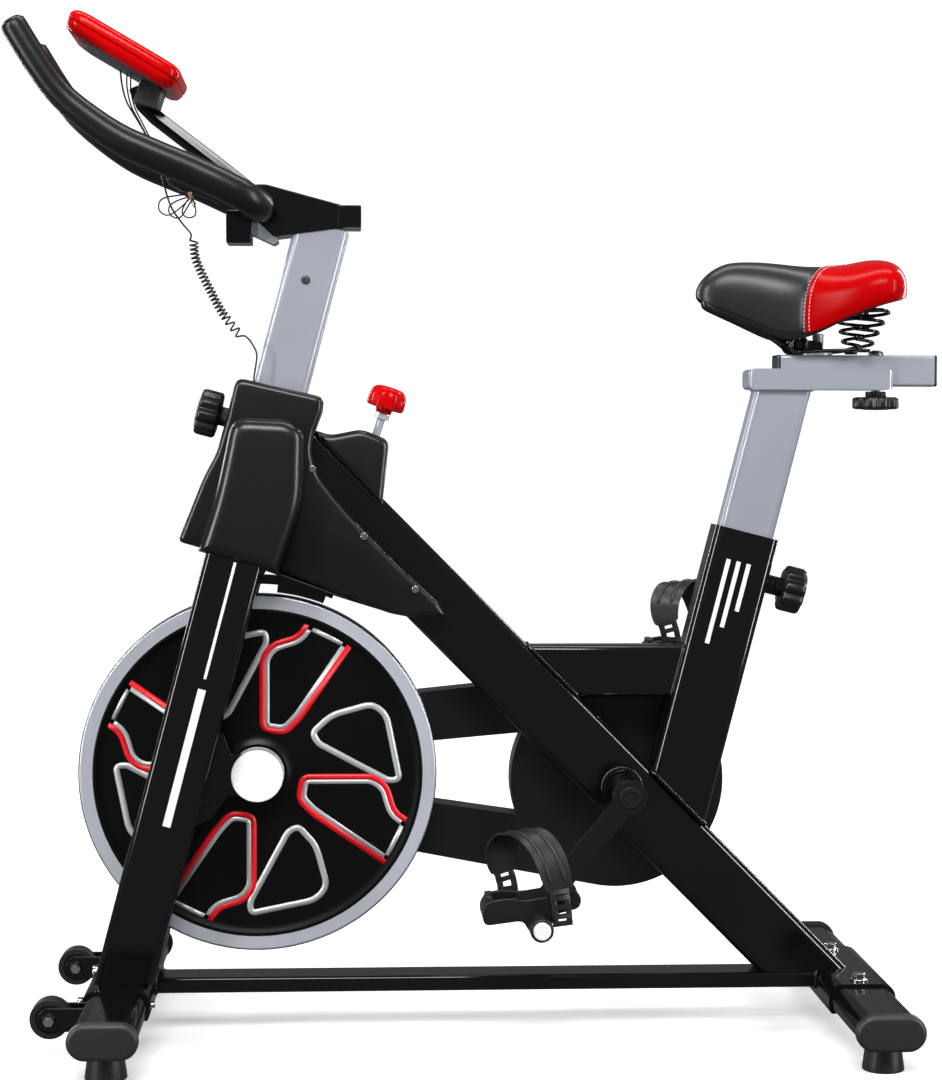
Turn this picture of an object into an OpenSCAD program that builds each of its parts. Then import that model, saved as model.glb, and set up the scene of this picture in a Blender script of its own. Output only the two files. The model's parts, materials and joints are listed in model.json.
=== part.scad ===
// Indoor spin bike: belt-driven flywheel cycle with a sliding handlebar post, seat post and saddle rail.
// Millimetres. +X points to the saddle end, +Y to the rider's right (belt side), +Z up.
// Origin: bottom centre of the whole machine, on the floor.

/* [Base] */
// Centre of the front stabilizer along X
front_x = -406; // [-420:1:-395]
// Centre of the rear stabilizer along X
rear_x = 432; // [425:1:445]
// Overall width over the stabilizer end caps
base_w = 500; // [480:5:540]
// Height of the stabilizer tube centre above the floor
stab_z = 48.5; // [46:0.5:52]
// Width of the stabilizer tube section
stab_w = 70; // [66:1:74]
// Height of the stabilizer tube section
stab_h = 33; // [30:1:36]
// Distance of each levelling foot from the middle
foot_y = 205; // [198:1:212]
// Diameter of the levelling foot at the floor
foot_d = 46; // [40:1:50]

/* [Frame] */
// Lean of the fork and handlebar post from vertical, degrees
mast_lean = 14.65; // [14:0.05:15]
// Fore-aft size of the fork leg
leg_w = 66; // [62:1:70]
// Thickness of the fork leg across the machine
leg_t = 32; // [28:1:34]
// Half of the clear gap between the fork legs
leg_gap = 36; // [35:0.5:37]
// Angle of the diagonal tube from vertical, degrees
diag_lean = 44.7; // [44:0.1:45.5]
// Depth of the diagonal, head and seat tubes
tube_w = 76; // [74:1:78]
// Width of the diagonal tube across the machine
diag_y = 44; // [40:1:46]
// Lean of the seat tube from vertical, degrees
seat_lean = 14.3; // [13.5:0.1:15]
// Width of the seat tube across the machine
seat_y = 50; // [48:1:54]

/* [Drive] */
// Flywheel centre along X
fly_x = -251; // [-253:0.5:-249]
// Flywheel centre above the floor
fly_z = 299.5; // [297:0.5:302]
// Flywheel diameter
fly_d = 409; // [400:1:412]
// Flywheel rim width
fly_w = 36; // [30:1:38]
// Crank axis along X
crank_x = 167; // [165:0.5:169]
// Crank axis above the floor
crank_z = 281.5; // [280:0.5:283]
// Crank length between centres
crank_len = 167; // [160:1:170]
// Angle of the left crank below the horizontal, degrees
crank_rest = 50.5; // [45:0.5:55]
// Radius of the large belt pulley
pulley_r = 100; // [96:1:102]
// Radius of the small belt pulley
pinion_r = 30; // [28:1:32]

/* [Posts and saddle] */
// Fore-aft size of the handlebar post
bar_post_w = 62; // [60:1:64]
// Size of the handlebar post across the machine
bar_post_y = 50; // [46:1:52]
// Fore-aft size of the seat post
seat_post_w = 64; // [60:1:65]
// Size of the seat post across the machine
seat_post_y = 38; // [36:1:40]
// Length of the saddle rail
rail_len = 185; // [175:1:190]
// Diameter of the fluted clamp knobs
knob_d = 54; // [48:1:58]

/* [Handlebar and console] */
// Diameter of the foam grips
grip_d = 32; // [30:1:35]
// Diameter of the steel bar inside the grips
bar_d = 25.4; // [22:0.1:26]
// Distance of each grip from the middle
arm_y = 86; // [80:1:95]
// Console size along its face
console_len = 140; // [130:1:142]
// Console size across the machine
console_w = 140; // [120:5:150]

/* [Hidden] */
$fn = 48;
eps = 0.02;
fit = 0.05;
gap = 0.4;

// Base, derived
saddle_t = 3;
saddle_y = 100;
saddle_top = stab_z + stab_h / 2 + saddle_t;
bar_top = stab_z + stab_h / 2;
bar_h = 18;
bar_y = 50;
cap_w = stab_w + 6;
cap_h = stab_h + 7;
cap_len = 70;
foot_h = 26.5;
stud_d = 10;
stud_fit = 0.08;
wheel_d = 44;
wheel_w = 22;
wheel_y = 128;
wheel_x = front_x - 68;
wheel_z = 47;
wheel_pin = 8;

// Mast: the line shared by the fork legs, head sleeve and handlebar post
mast_x = -400.5;
mast_z = 68;
sleeve_bottom = 504;
sleeve_top = 690;
sleeve_y = 2 * leg_gap;
leg_top = 640;
bushing_t = 3;
bushing_len = 86;
sleeve_in_w = bar_post_w + 2 * bushing_t;
sleeve_in_y = bar_post_y + 4 * bushing_t;
post_bottom = 575;
post_top = 884;
front_pin_s = 646;

// Diagonal tube, through the crank axis
diag_wall = 3;
shell_r = 22;
cup_r = 18;
spindle_r = 8.5;

// Seat tube, from its top end
seat_top_x = 311;
seat_top_z = 575.3;
seat_tube_wall = 3;
seat_pin_t = -52;
seat_in_w = tube_w - 2 * seat_tube_wall;
seat_in_y = seat_y - 2 * seat_tube_wall;

// Drive line across the machine
belt_y = 63;
belt_w = 14;
belt_t = 4;
guard_in = 41;
guard_mid = belt_y;
guard_out = 85;
guard_r = 127;
guard_small_r = 66;
guard_t = 2.5;
spindle_end = 98;
crank_t = 14;
crank_in = 91;
pedal_in = 112;
pedal_out = 200;
pedal_pin = 14;
plate_t = 6;
axle_r = 10;
bearing_r = 21;
bearing_w = 12;
housing_r = 27;
bearing_y = 23.5;

// Saddle group
chan_x0 = 310.5;
chan_x1 = 478.5;
chan_z = 739.6;
chan_h = 24;
chan_y = 52;
rail_x0 = 345;
rail_z = 744;
rail_h = 35.5;
rail_y = 40;
clamp_x = 463;
pillar_x = 395;

// Brake line
brake_lean = 17.6;
brake_x = -116.4;
brake_z = 685.7;
brake_rod_r = 5;
arm_pivot_x = -252;
arm_pivot_z = 533;

// Console
console_x = -398;
console_z = 1114;
console_tilt = 30;
console_t = 28;

// Covers
cover_y = 52;
cover_wall = 3;
cord_hole = [-254, -38];
cover_screw_places = [[-188, 648], [-130, 572], [-72, 512]];

// Pedals
pedal_tilt = 8.7;
deck_w = 85;

// Side view of the near arm, tip first: [x, z]
arm_side = [[-516, 1138], [-489, 1094], [-464, 1060], [-434, 1034], [-398, 1010], [-360, 993],
    [-320, 977], [-285, 961]];
arm_tip_y = 95;
arm_last = len(arm_side) - 1;
arm_points = [for (i = [0 : arm_last])
    [arm_side[i][0], arm_tip_y + (arm_y - arm_tip_y) * i / arm_last, arm_side[i][1]]];
elbow_points = [[-261, arm_y - 5, 949], [-246, arm_y - 24, 940], [-240, arm_y - 48, 937],
    [-240, 18, 937], [-240, 0, 937]];
half_bar = curve(concat(arm_points, elbow_points), 2);
grip_stop = 2 * (arm_last + 2) + 1;
half_grip = [for (i = [0 : grip_stop]) half_bar[i]];
full_bar = concat(half_bar, [for (i = [len(half_bar) - 2 : -1 : 0])
    [half_bar[i][0], -half_bar[i][1], half_bar[i][2]]]);

// Cord routes: the sensor leads, the tail into the cover, and the middle of the coil
lead_points = [[-396, -12, 1094], [-397, -14, 1078], [-390, -16, 1060], [-376, -22, 1042],
    [-360, -34, 1020], [-350, -48, 998], [-344, -60, 978], [-336, -66, 958], [-329, -66, 936],
    [-326, -62, 920], [-320, -56, 909]];
tail_points = [[-262, -37, 790], [-255, -37, 788], [-251, -38, 778], [-252, -38, 764], [-254, -38, 752],
    [-254, -38, 745]];
coil_points = [[-320, -56, 907], [-319, -52, 886], [-311, -48, 865], [-301, -44, 845],
    [-291, -41, 826], [-281, -39, 812], [-270, -38, 799], [-263, -37, 791]];

// ---------- shared shapes ----------

// Rectangle with round corners, exact
module round_rect(w, d, r) {
    square([w - 2 * r, d], center = true);
    square([w, d - 2 * r], center = true);
    for (sx = [-1, 1], sy = [-1, 1])
        translate([sx * (w / 2 - r), sy * (d / 2 - r)]) circle(r);
}

// Bar along +Z from z0 to z1
module bar(w, d, r, z0, z1) {
    translate([0, 0, z0]) linear_extrude(z1 - z0) round_rect(w, d, r);
}

// Hollow section along +Z
module tube(w, d, r, wall, z0, z1) {
    difference() {
        bar(w, d, r, z0, z1);
        bar(w - 2 * wall, d - 2 * wall, max(r - wall, 0.5), z0 - 1, z1 + 1);
    }
}

// Cylinder along Y from y0 to y1
module rod_y(r, y0, y1) {
    translate([0, y0, 0]) rotate([-90, 0, 0]) cylinder(h = y1 - y0, r = r);
}

// Cylinder along X from x0 to x1
module rod_x(r, x0, x1) {
    translate([x0, 0, 0]) rotate([0, 90, 0]) cylinder(h = x1 - x0, r = r);
}

// Outline in the X-Z plane made into a slab from y0 to y1
module slab_y(y0, y1) {
    translate([0, y1, 0]) rotate([90, 0, 0]) linear_extrude(y1 - y0) children();
}

module at_mast() { translate([mast_x, 0, mast_z]) rotate([0, mast_lean, 0]) children(); }
module at_diag() { translate([crank_x, 0, crank_z]) rotate([0, -diag_lean, 0]) children(); }
module at_seat() { translate([seat_top_x, 0, seat_top_z]) rotate([0, seat_lean, 0]) children(); }
module at_brake() { translate([brake_x, 0, brake_z]) rotate([0, brake_lean, 0]) children(); }
module at_fly() { translate([fly_x, 0, fly_z]) children(); }
module at_crank() { translate([crank_x, 0, crank_z]) children(); }
module at_console() { translate([console_x, 0, console_z]) rotate([0, console_tilt, 0]) children(); }

// Fluted clamp knob along +Z, with its collar on the low side
module fluted_knob(d, h, lobes) {
    r = d / 2;
    difference() {
        cylinder(h = h, r = r);
        for (i = [0 : lobes - 1])
            rotate([0, 0, i * 360 / lobes]) translate([r + 2.5, 0, -1]) cylinder(h = h + 2, r = 5);
    }
}

// Sweep of a circle along a list of points, as one closed polyhedron
function vsub(a, b) = [a[0] - b[0], a[1] - b[1], a[2] - b[2]];
function unit(v) = v / norm(v);
function tangent(p, i) =
    i == 0 ? unit(vsub(p[1], p[0]))
    : i == len(p) - 1 ? unit(vsub(p[i], p[i - 1]))
    : unit(unit(vsub(p[i + 1], p[i])) + unit(vsub(p[i], p[i - 1])));
function ring(p, i, r, n, ref) =
    let (t = tangent(p, i), u = unit(cross(t, ref)), v = cross(u, t))
    [for (k = [0 : n - 1]) p[i] + r * (cos(k * 360 / n) * u + sin(k * 360 / n) * v)];

module sweep(p, r, n = 12, ref = [0.12, 0, 1]) {
    last = len(p) - 1;
    verts = [for (i = [0 : last]) each ring(p, i, r, n, ref)];
    sides = [for (i = [0 : last - 1], k = [0 : n - 1])
        [i * n + k, i * n + (k + 1) % n, (i + 1) * n + (k + 1) % n, (i + 1) * n + k]];
    cap_a = [[for (k = [n - 1 : -1 : 0]) k]];
    cap_b = [[for (k = [0 : n - 1]) last * n + k]];
    polyhedron(verts, concat(sides, cap_a, cap_b), convexity = 8);
}

// Points of a Catmull-Rom curve through p, k steps on each span
function cr(a, b, c, d, t) =
    0.5 * ((2 * b) + (c - a) * t + (2 * a - 5 * b + 4 * c - d) * t * t + (3 * b - a - 3 * c + d) * t * t * t);
function curve(p, k) = concat(
    [for (i = [0 : len(p) - 2], j = [0 : k - 1])
        cr(p[max(i - 1, 0)], p[i], p[i + 1], p[min(i + 2, len(p) - 1)], j / k)],
    [p[len(p) - 1]]);

// ---------- base ----------

module stab_solid(x, half = 300) {
    translate([x, -half, stab_z]) rotate([-90, 0, 0])
        linear_extrude(2 * half) round_rect(stab_w, stab_h, stab_h / 2 - 0.5);
}

module saddle_solid(x) {
    translate([x, -saddle_y, stab_z]) rotate([-90, 0, 0])
        linear_extrude(2 * saddle_y) round_rect(stab_w + 2 * saddle_t, stab_h + 2 * saddle_t, 15);
}

// Holes for the stabilizer bolts
module bolt_holes(r) {
    for (y = [-80, 80]) {
        translate([rear_x, y, 20]) cylinder(h = 60, r = r);
        translate([front_x, y, stab_z]) rod_x(r, -60, 60);
    }
}

module stabilizer_tubes() {
    color("#141416")
    for (x = [front_x, rear_x])
        difference() {
            translate([x, -base_w / 2 + 12, stab_z]) rotate([-90, 0, 0]) linear_extrude(base_w - 24)
                difference() {
                    round_rect(stab_w, stab_h, stab_h / 2 - 0.5);
                    round_rect(stab_w - 4, stab_h - 4, stab_h / 2 - 2.5);
                }
            for (y = [-foot_y, foot_y])
                translate([x, y, 0]) cylinder(h = stab_z, r = stud_d / 2 + stud_fit);
            bolt_holes(4 + fit);
        }
}

module stabilizer_saddles() {
    color("#141416")
    for (x = [front_x, rear_x])
        difference() {
            saddle_solid(x);
            stab_solid(x);
            translate([x - 60, -150, 0]) cube([120, 300, stab_z - 14]);
            bolt_holes(4 + fit);
        }
}

module stabilizer_end_caps() {
    color("#1b1b1d")
    for (x = [front_x, rear_x], side = [-1, 1])
        difference() {
            translate([x, side * (base_w - cap_len) / 2, stab_z]) rotate([90, 0, 0])
                bar(cap_w, cap_h, cap_h / 2 - 1, -cap_len / 2, cap_len / 2);
            stab_solid(x, base_w / 2 - 12);
            translate([x, side * foot_y, 0]) cylinder(h = stab_z, r = stud_d / 2 + stud_fit);
        }
}

module base_bar() {
    x0 = front_x + stab_w / 2 + saddle_t;
    x1 = rear_x - stab_w / 2 - saddle_t;
    color("#141416")
    difference() {
        translate([0, 0, bar_top - bar_h / 2]) rotate([0, 90, 0])
            tube(bar_h, bar_y, 4, 2, x0, x1);
        saddle_solid(front_x);
        saddle_solid(rear_x);
    }
}

// Levelling foot with its stud
module foot(x, y) {
    color("#1b1b1d")
    translate([x, y, 0]) {
        cylinder(h = foot_h, d1 = foot_d, d2 = foot_d - 7);
        translate([0, 0, foot_h]) cylinder(h = stab_z - foot_h - 4, r = stud_d / 2);
    }
}

module transport_wheel(side) {
    color("#1b1b1d")
    translate([wheel_x, side * wheel_y, wheel_z]) difference() {
        rod_y(wheel_d / 2, -wheel_w / 2, wheel_w / 2);
        rod_y(wheel_pin / 2 + fit, -wheel_w, wheel_w);
        for (s = [-1, 1]) translate([0, s * wheel_w / 2, 0]) difference() {
            rod_y(15, -2, 2);
            rod_y(8, -3, 3);
        }
    }
}

module wheel_brackets() {
    inner = wheel_w / 2 + 1;
    color("#141416")
    for (side = [-1, 1])
        difference() {
            translate([wheel_x, side * wheel_y, wheel_z]) {
                for (s = [-1, 1])
                    slab_y(s * (inner + 1.5) - 1.5, s * (inner + 1.5) + 1.5) union() {
                        circle(13);
                        translate([0, -13]) square([45, 26]);
                    }
                rod_y(wheel_pin / 2, -inner - 3, inner + 3);
                for (s = [-1, 1])
                    rod_y(7, s * (inner + 5) - 2, s * (inner + 5) + 2);
            }
            stab_solid(front_x);
        }
}

// Stabilizer bolts, brake pivot pin and cover screws
module frame_fasteners() {
    color("#c9ccd2") {
        for (y = [-80, 80]) {
            translate([rear_x, y, stab_z - stab_h / 2 - 6]) cylinder(h = stab_h + saddle_t + 6, r = 4);
            translate([rear_x, y, saddle_top]) cylinder(h = 2, r = 10);
            translate([rear_x, y, saddle_top + 2]) cylinder(h = 6, d = 15, $fn = 6);
            translate([front_x, y, stab_z]) rod_x(4, -stab_w / 2 - saddle_t, stab_w / 2 + saddle_t + 4);
            translate([front_x - stab_w / 2 - saddle_t - 6, y, stab_z]) rod_x(9, 0, 6);
        }
        translate([arm_pivot_x, 0, arm_pivot_z]) rod_y(5, -leg_gap, leg_gap);
        for (p = cover_screw_places, side = [-1, 1])
            translate([p[0], side * (cover_y + 1), p[1]]) rod_y(4, -1, 1);
    }
}

// ---------- welded frame ----------

module leg_solid(side) {
    at_mast() translate([0, side * (leg_gap + leg_t / 2), 0]) bar(leg_w, leg_t, 8, -40, leg_top);
}

// Plate from the fork leg to the flywheel bearing, with the bearing housing
module axle_plate(side) {
    y0 = side > 0 ? leg_gap - plate_t : -leg_gap - 1;
    drop = 51;
    at_fly() difference() {
        union() {
            slab_y(y0, y0 + plate_t + 1) polygon([
                [-55, drop + 14], [-38, drop - 4], [-30, 24], [0, 22], [0, -22], [-34, -24],
                [-52, -drop + 2], [-76, -drop - 10], [-84, -drop], [-58, drop + 14]]);
            rod_y(housing_r, side > 0 ? bearing_y : -leg_gap, side > 0 ? leg_gap : -bearing_y);
        }
        rod_y(bearing_r, -leg_gap - 1, leg_gap + 1);
    }
}

module fork_leg(side) {
    color("#141416") {
        difference() {
            leg_solid(side);
            at_mast() translate([0, side * (leg_gap + leg_t / 2), 0])
                bar(leg_w - 6, leg_t - 6, 5, -60, leg_top - 3);
            translate([mast_x - 100, -100, 0]) cube([200, 200, mast_z]);
        }
        axle_plate(side);
    }
}

module sleeve_solid() {
    at_mast() bar(tube_w + 2, sleeve_y, 8, sleeve_bottom, sleeve_top);
}

module head_sleeve() {
    color("#141416")
    difference() {
        union() {
            sleeve_solid();
            at_mast() translate([0, 0, front_pin_s]) rod_x(11, -tube_w / 2 - 12, 0);
        }
        at_mast() bar(sleeve_in_w, sleeve_in_y, 8, sleeve_bottom - 1, sleeve_top + 1);
        at_mast() translate([0, 0, front_pin_s]) rod_x(6 + fit, -100, 0);
    }
}

module diag_solid(extra = 0) {
    at_diag() bar(tube_w + extra, diag_y + extra, 10, -420, 560);
}

// Everything on or below the top face of the diagonal tube
module under_diag() {
    at_diag() translate([tube_w / 2 - 400, -100, -500]) cube([400, 200, 1200]);
}

module diagonal_tube() {
    color("#141416")
    difference() {
        union() {
            difference() {
                at_diag() tube(tube_w, diag_y, 10, diag_wall, -420, 560);
                at_mast() translate([tube_w / 2 + 1 - 400, -60, 300]) cube([400, 120, 600]);
                translate([200, -60, -200]) cube([400, 120, 200 + bar_top]);
                saddle_solid(rear_x);
            }
            at_crank() rod_y(shell_r, -leg_gap, leg_gap);
        }
        at_crank() rod_y(cup_r, -leg_gap - 1, leg_gap + 1);
        at_brake() cylinder(h = 400, r = brake_rod_r + 1, center = true);
    }
}

module seat_tube() {
    color("#141416")
    difference() {
        union() {
            at_seat() tube(tube_w, seat_y, 10, seat_tube_wall, -420, 0);
            at_seat() translate([0, 0, seat_pin_t]) difference() {
                rod_x(11, seat_in_w / 2, tube_w / 2 + 10);
                rod_x(6 + fit, 0, 60);
            }
        }
        at_seat() translate([0, 0, seat_pin_t]) rod_x(6 + fit, 0, 60);
        under_diag();
    }
}

module brace_tube() {
    color("#141416")
    difference() {
        translate([0, 0, 415]) rotate([0, 90, 0]) tube(60, 40, 8, 3, 20, 300);
        under_diag();
        at_seat() translate([-tube_w / 2, -100, -500]) cube([400, 200, 600]);
    }
}

module post_bushings() {
    color("#101012") {
        at_mast() difference() {
            bar(sleeve_in_w, sleeve_in_y, 8, sleeve_top - bushing_len, sleeve_top);
            bar(bar_post_w + 2 * gap, bar_post_y + 2 * gap, 8, sleeve_top - 100, sleeve_top + 1);
            translate([0, 0, front_pin_s]) rod_x(6 + fit, -100, 0);
        }
        at_seat() difference() {
            bar(seat_in_w, seat_in_y, 7, -90, 0);
            bar(seat_post_w + 2 * gap, seat_post_y + 2 * gap, 8, -100, 1);
            translate([0, 0, seat_pin_t]) rod_x(6 + fit, 0, 60);
        }
    }
}

// Four ball bearings: two at the flywheel shaft, two at the crank spindle
module bearings() {
    color("#b9bcc2") {
        for (s = [-1, 1]) {
            at_fly() difference() {
                rod_y(bearing_r, s * (bearing_y + bearing_w / 2) - 6, s * (bearing_y + bearing_w / 2) + 6);
                rod_y(axle_r + fit, -60, 60);
            }
            at_crank() difference() {
                rod_y(cup_r, s * 30 - 6, s * 30 + 6);
                rod_y(spindle_r + fit, -60, 60);
            }
        }
    }
}

// Round caps outside the flywheel bearings
module axle_caps() {
    color("#f2f2f2") {
        at_fly() difference() {
            rod_y(29.5, -leg_gap - 9, -leg_gap - 1);
            rod_y(axle_r + 2, -leg_gap - 6, 0);
        }
        at_fly() difference() {
            rod_y(24, leg_gap + 1, leg_gap + 4);
            rod_y(axle_r + 2, 0, 60);
        }
    }
}

// ---------- covers ----------

module cover_outline() {
    polygon([
        [-274, 751], [-284, 708], [-296, 667], [-312, 636], [-340, 566], [-305, 556], [-245, 536],
        [-228, 530], [-165, 507], [-101, 484], [-36, 481], [-90, 538], [-133, 581], [-176, 631],
        [-190, 665], [-184, 688], [-177, 714], [-176, 729]]);
}

module leg_blister() {
    at_mast() bar(leg_w + 12, 2 * (leg_gap + leg_t + 10), 12, 505, 655);
}

module front_cover(side) {
    color("#1a1a1c")
    difference() {
        intersection() {
            difference() {
                union() {
                    slab_y(-cover_y, cover_y) cover_outline();
                    leg_blister();
                }
                slab_y(-cover_y + cover_wall, cover_y - cover_wall)
                    offset(delta = -cover_wall) cover_outline();
                at_mast() bar(leg_w + 6, 2 * (leg_gap + leg_t + 7), 9, 495, 652);
            }
            translate([-400, side > 0 ? eps : -120, 400]) cube([500, 120 - eps, 400]);
        }
        leg_solid(side);
        sleeve_solid();
        diag_solid();
        at_mast() bar(bar_post_w + 8, bar_post_y + 8, 8, 600, 800);
        at_mast() translate([0, 0, front_pin_s]) rod_x(12.5, -100, 0);
        slab_y(-30, 30) polygon([
            [-190, 640], [-190, 700], [-90, 700], [-90, 640]]);
        at_brake() cylinder(h = 400, r = brake_rod_r + 3, center = true);
        at_fly() rod_y(fly_d / 2 + 50, -40, 40);
        translate([cord_hole[0], cord_hole[1], 700]) cylinder(h = 80, r = 4);
    }
}

module brake_housing() {
    color("#161618")
    difference() {
        slab_y(-25, 25) polygon([
            [-183, 690], [-133, 692], [-103, 680], [-102, 672], [-112, 619], [-150, 600], [-183, 640]]);
        slab_y(-22, 22) polygon([
            [-172, 670], [-135, 688], [-108, 677], [-116, 625], [-150, 610]]);
        diag_solid();
        under_diag();
        sleeve_solid();
        at_brake() cylinder(h = 400, r = brake_rod_r + fit, center = true);
    }
}

// Outline of the belt guard: a big disc, a small disc and two tapering arms
module guard_outline(big, small) {
    big_c = [crank_x, crank_z];
    small_c = [fly_x, fly_z];
    translate(big_c) circle(big);
    translate(small_c) circle(small);
    d = norm(small_c - big_c);
    a = atan2(small_c[1] - big_c[1], small_c[0] - big_c[0]);
    b = acos((big - small) / d);
    polygon([
        big_c + big * [cos(a - b), sin(a - b)], small_c + small * [cos(a - b), sin(a - b)],
        small_c, small_c + small * [cos(a + b), sin(a + b)],
        big_c + big * [cos(a + b), sin(a + b)], big_c]);
}

module guard_window(grow = 0) {
    difference() {
        polygon([[-210, 314 + grow], [60, 338 + grow], [60, 239 - grow], [-210, 279 - grow]]);
        translate([crank_x, crank_z]) circle(guard_r - 3 - grow);
        translate([fly_x, fly_z]) circle(guard_small_r - 2 - grow);
    }
}

module guard_half(y0, y1, face0, face1) {
    difference() {
        slab_y(y0, y1) difference() {
            guard_outline(guard_r, guard_small_r);
            guard_window();
        }
        difference() {
            slab_y(face0, face1) guard_outline(guard_r - guard_t, guard_small_r - guard_t);
            slab_y(face0 - 1, face1 + 1) guard_window(guard_t);
        }
        leg_solid(1);
    }
}

module belt_guard_inner() {
    color("#18181a")
    difference() {
        guard_half(guard_in, guard_mid, guard_in + guard_t, guard_mid + 1);
        at_crank() rod_y(shell_r + 1, 0, guard_mid);
        at_fly() rod_y(25, 0, guard_mid);
    }
}

module belt_guard_outer() {
    color("#18181a")
    difference() {
        guard_half(guard_mid, guard_out, guard_mid - 1, guard_out - guard_t);
        at_crank() rod_y(spindle_r + 6, 0, 120);
    }
}

module drive_belt() {
    color("#101010")
    slab_y(belt_y - belt_w / 2, belt_y + belt_w / 2) difference() {
        guard_outline(pulley_r + gap + belt_t, pinion_r + gap + belt_t);
        guard_outline(pulley_r + gap, pinion_r + gap);
    }
}

// ---------- flywheel ----------

module flywheel() {
    face = fly_w / 2;
    color("#20242a")
    at_fly() rotate([90, 0, 0]) rotate_extrude($fn = 120) polygon([
        [axle_r, -20], [30, -20], [32, -5], [183, -5], [187, -face], [fly_d / 2 - 2, -face],
        [fly_d / 2, -face + 2], [fly_d / 2, face - 2], [fly_d / 2 - 2, face], [187, face],
        [183, 5], [32, 5], [30, 20], [axle_r, 20]]);
}

module flywheel_shaft() {
    color("#c9ccd2") at_fly() rod_y(axle_r, -leg_gap - 3, belt_y + 10);
}

module small_pulley() {
    color("#8d9096")
    at_fly() difference() {
        union() {
            rod_y(pinion_r, belt_y - belt_w / 2 + 0.5, belt_y + belt_w / 2 - 0.5);
            rod_y(pinion_r + 1.5, belt_y + belt_w / 2 + 0.5, belt_y + belt_w / 2 + 2.5);
            rod_y(16, belt_y + belt_w / 2 - 1, belt_y + belt_w / 2 + 4);
        }
        rod_y(axle_r, 0, 100);
    }
}

// ---------- crank and pedals ----------

module crank_spindle() {
    color("#b9bcc2") at_crank() rod_y(spindle_r, -spindle_end, spindle_end);
}

module drive_pulley() {
    color("#2a2a2e")
    at_crank() difference() {
        union() {
            rod_y(pulley_r, belt_y - belt_w / 2 + 0.5, belt_y + belt_w / 2 - 0.5);
            rod_y(20, belt_y - 12, belt_y + 12);
        }
        rod_y(spindle_r, 0, 100);
        for (i = [0 : 5])
            rotate([0, i * 60, 0]) translate([60, 0, 0]) rod_y(22, 0, 100);
    }
}

// Pedal axis of one side, relative to the crank axis
function pedal_dx(side) = side * crank_len * cos(crank_rest);
function pedal_dz(side) = side * crank_len * sin(crank_rest);

module crank_arm(side) {
    y0 = side > 0 ? crank_in : -crank_in - crank_t;
    color("#26262a")
    at_crank() difference() {
        union() {
            rod_y(19, y0, y0 + crank_t);
            translate([pedal_dx(side), 0, pedal_dz(side)]) rod_y(14, y0, y0 + crank_t);
            rotate([0, 180 - crank_rest + (side > 0 ? 180 : 0), 0])
                translate([0, y0 + 1, -12]) cube([crank_len, crank_t - 2, 24]);
        }
        rod_y(spindle_r, -120, 120);
        translate([pedal_dx(side), 0, pedal_dz(side)]) rod_y(pedal_pin / 2, -120, 120);
    }
}

module pedal_spindles() {
    color("#c9ccd2")
    for (side = [-1, 1])
        at_crank() translate([pedal_dx(side), 0, pedal_dz(side)]) {
            y0 = side > 0 ? crank_in : -pedal_out - 1;
            rod_y(pedal_pin / 2, y0, y0 + pedal_out + 1 - crank_in);
            e = pedal_out + 2.5;
            rod_y(9.5, side * e - 1.5, side * e + 1.5);
        }
}

module at_pedal(side) {
    at_crank() translate([pedal_dx(side), 0, pedal_dz(side)]) rotate([0, -pedal_tilt, 0]) children();
}

module deck_outline() {
    polygon([
        [-60, 2], [-60, 18], [-48, 30], [-18, 32], [18, 34], [46, 32], [58, 20], [58, 6], [40, 8],
        [18, 4], [-20, 0]]);
}

module pedal(side) {
    y0 = side > 0 ? pedal_in : -pedal_in - deck_w;
    color("#19191b")
    at_pedal(side) difference() {
        union() {
            rod_y(13, side > 0 ? pedal_in : -pedal_out, side > 0 ? pedal_out : -pedal_in);
            slab_y(y0, y0 + deck_w) deck_outline();
        }
        rod_y(pedal_pin / 2 + fit, -240, 240);
        translate([-46, y0 + 10, -20]) cube([26, deck_w - 20, 80]);
        translate([24, y0 + 10, -20]) cube([24, deck_w - 20, 80]);
    }
}

// Toe strap: an arch across the deck, skewed to the rear on the outside
module strap(side) {
    across = 78;
    rise = 72;
    inner = rise - 3;
    color("#202022")
    at_pedal(side) translate([-4, side * (pedal_in + deck_w / 2), 33])
        rotate([90, 0, 90]) translate([0, 0, -17])
            linear_extrude(34) intersection() {
                difference() {
                    union() {
                        translate([0, rise - across / 2]) circle(across / 2);
                        translate([-across / 2, 0]) square([across, rise - across / 2]);
                    }
                    translate([0, rise - across / 2]) circle(across / 2 - 3);
                    translate([-across / 2 + 3, -1]) square([across - 6, inner - across / 2 + 4]);
                }
                translate([-100, 1.5]) square([200, 200]);
            }
}

// ---------- handlebar group ----------

module handlebar_post() {
    color("#a7adb5")
    difference() {
        at_mast() tube(bar_post_w, bar_post_y, 8, 2.5, post_bottom, post_top);
        at_mast() for (i = [0 : 7])
            translate([0, 0, front_pin_s - 60 + i * 20]) rod_x(6, -60, 0);
    }
}

module mirror_y() {
    children();
    mirror([0, 1, 0]) children();
}

module handlebar_grips() {
    color("#1c1c1e")
    difference() {
        mirror_y() sweep(half_grip, grip_d / 2, 12);
        sweep(full_bar, bar_d / 2, 12);
    }
}

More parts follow.
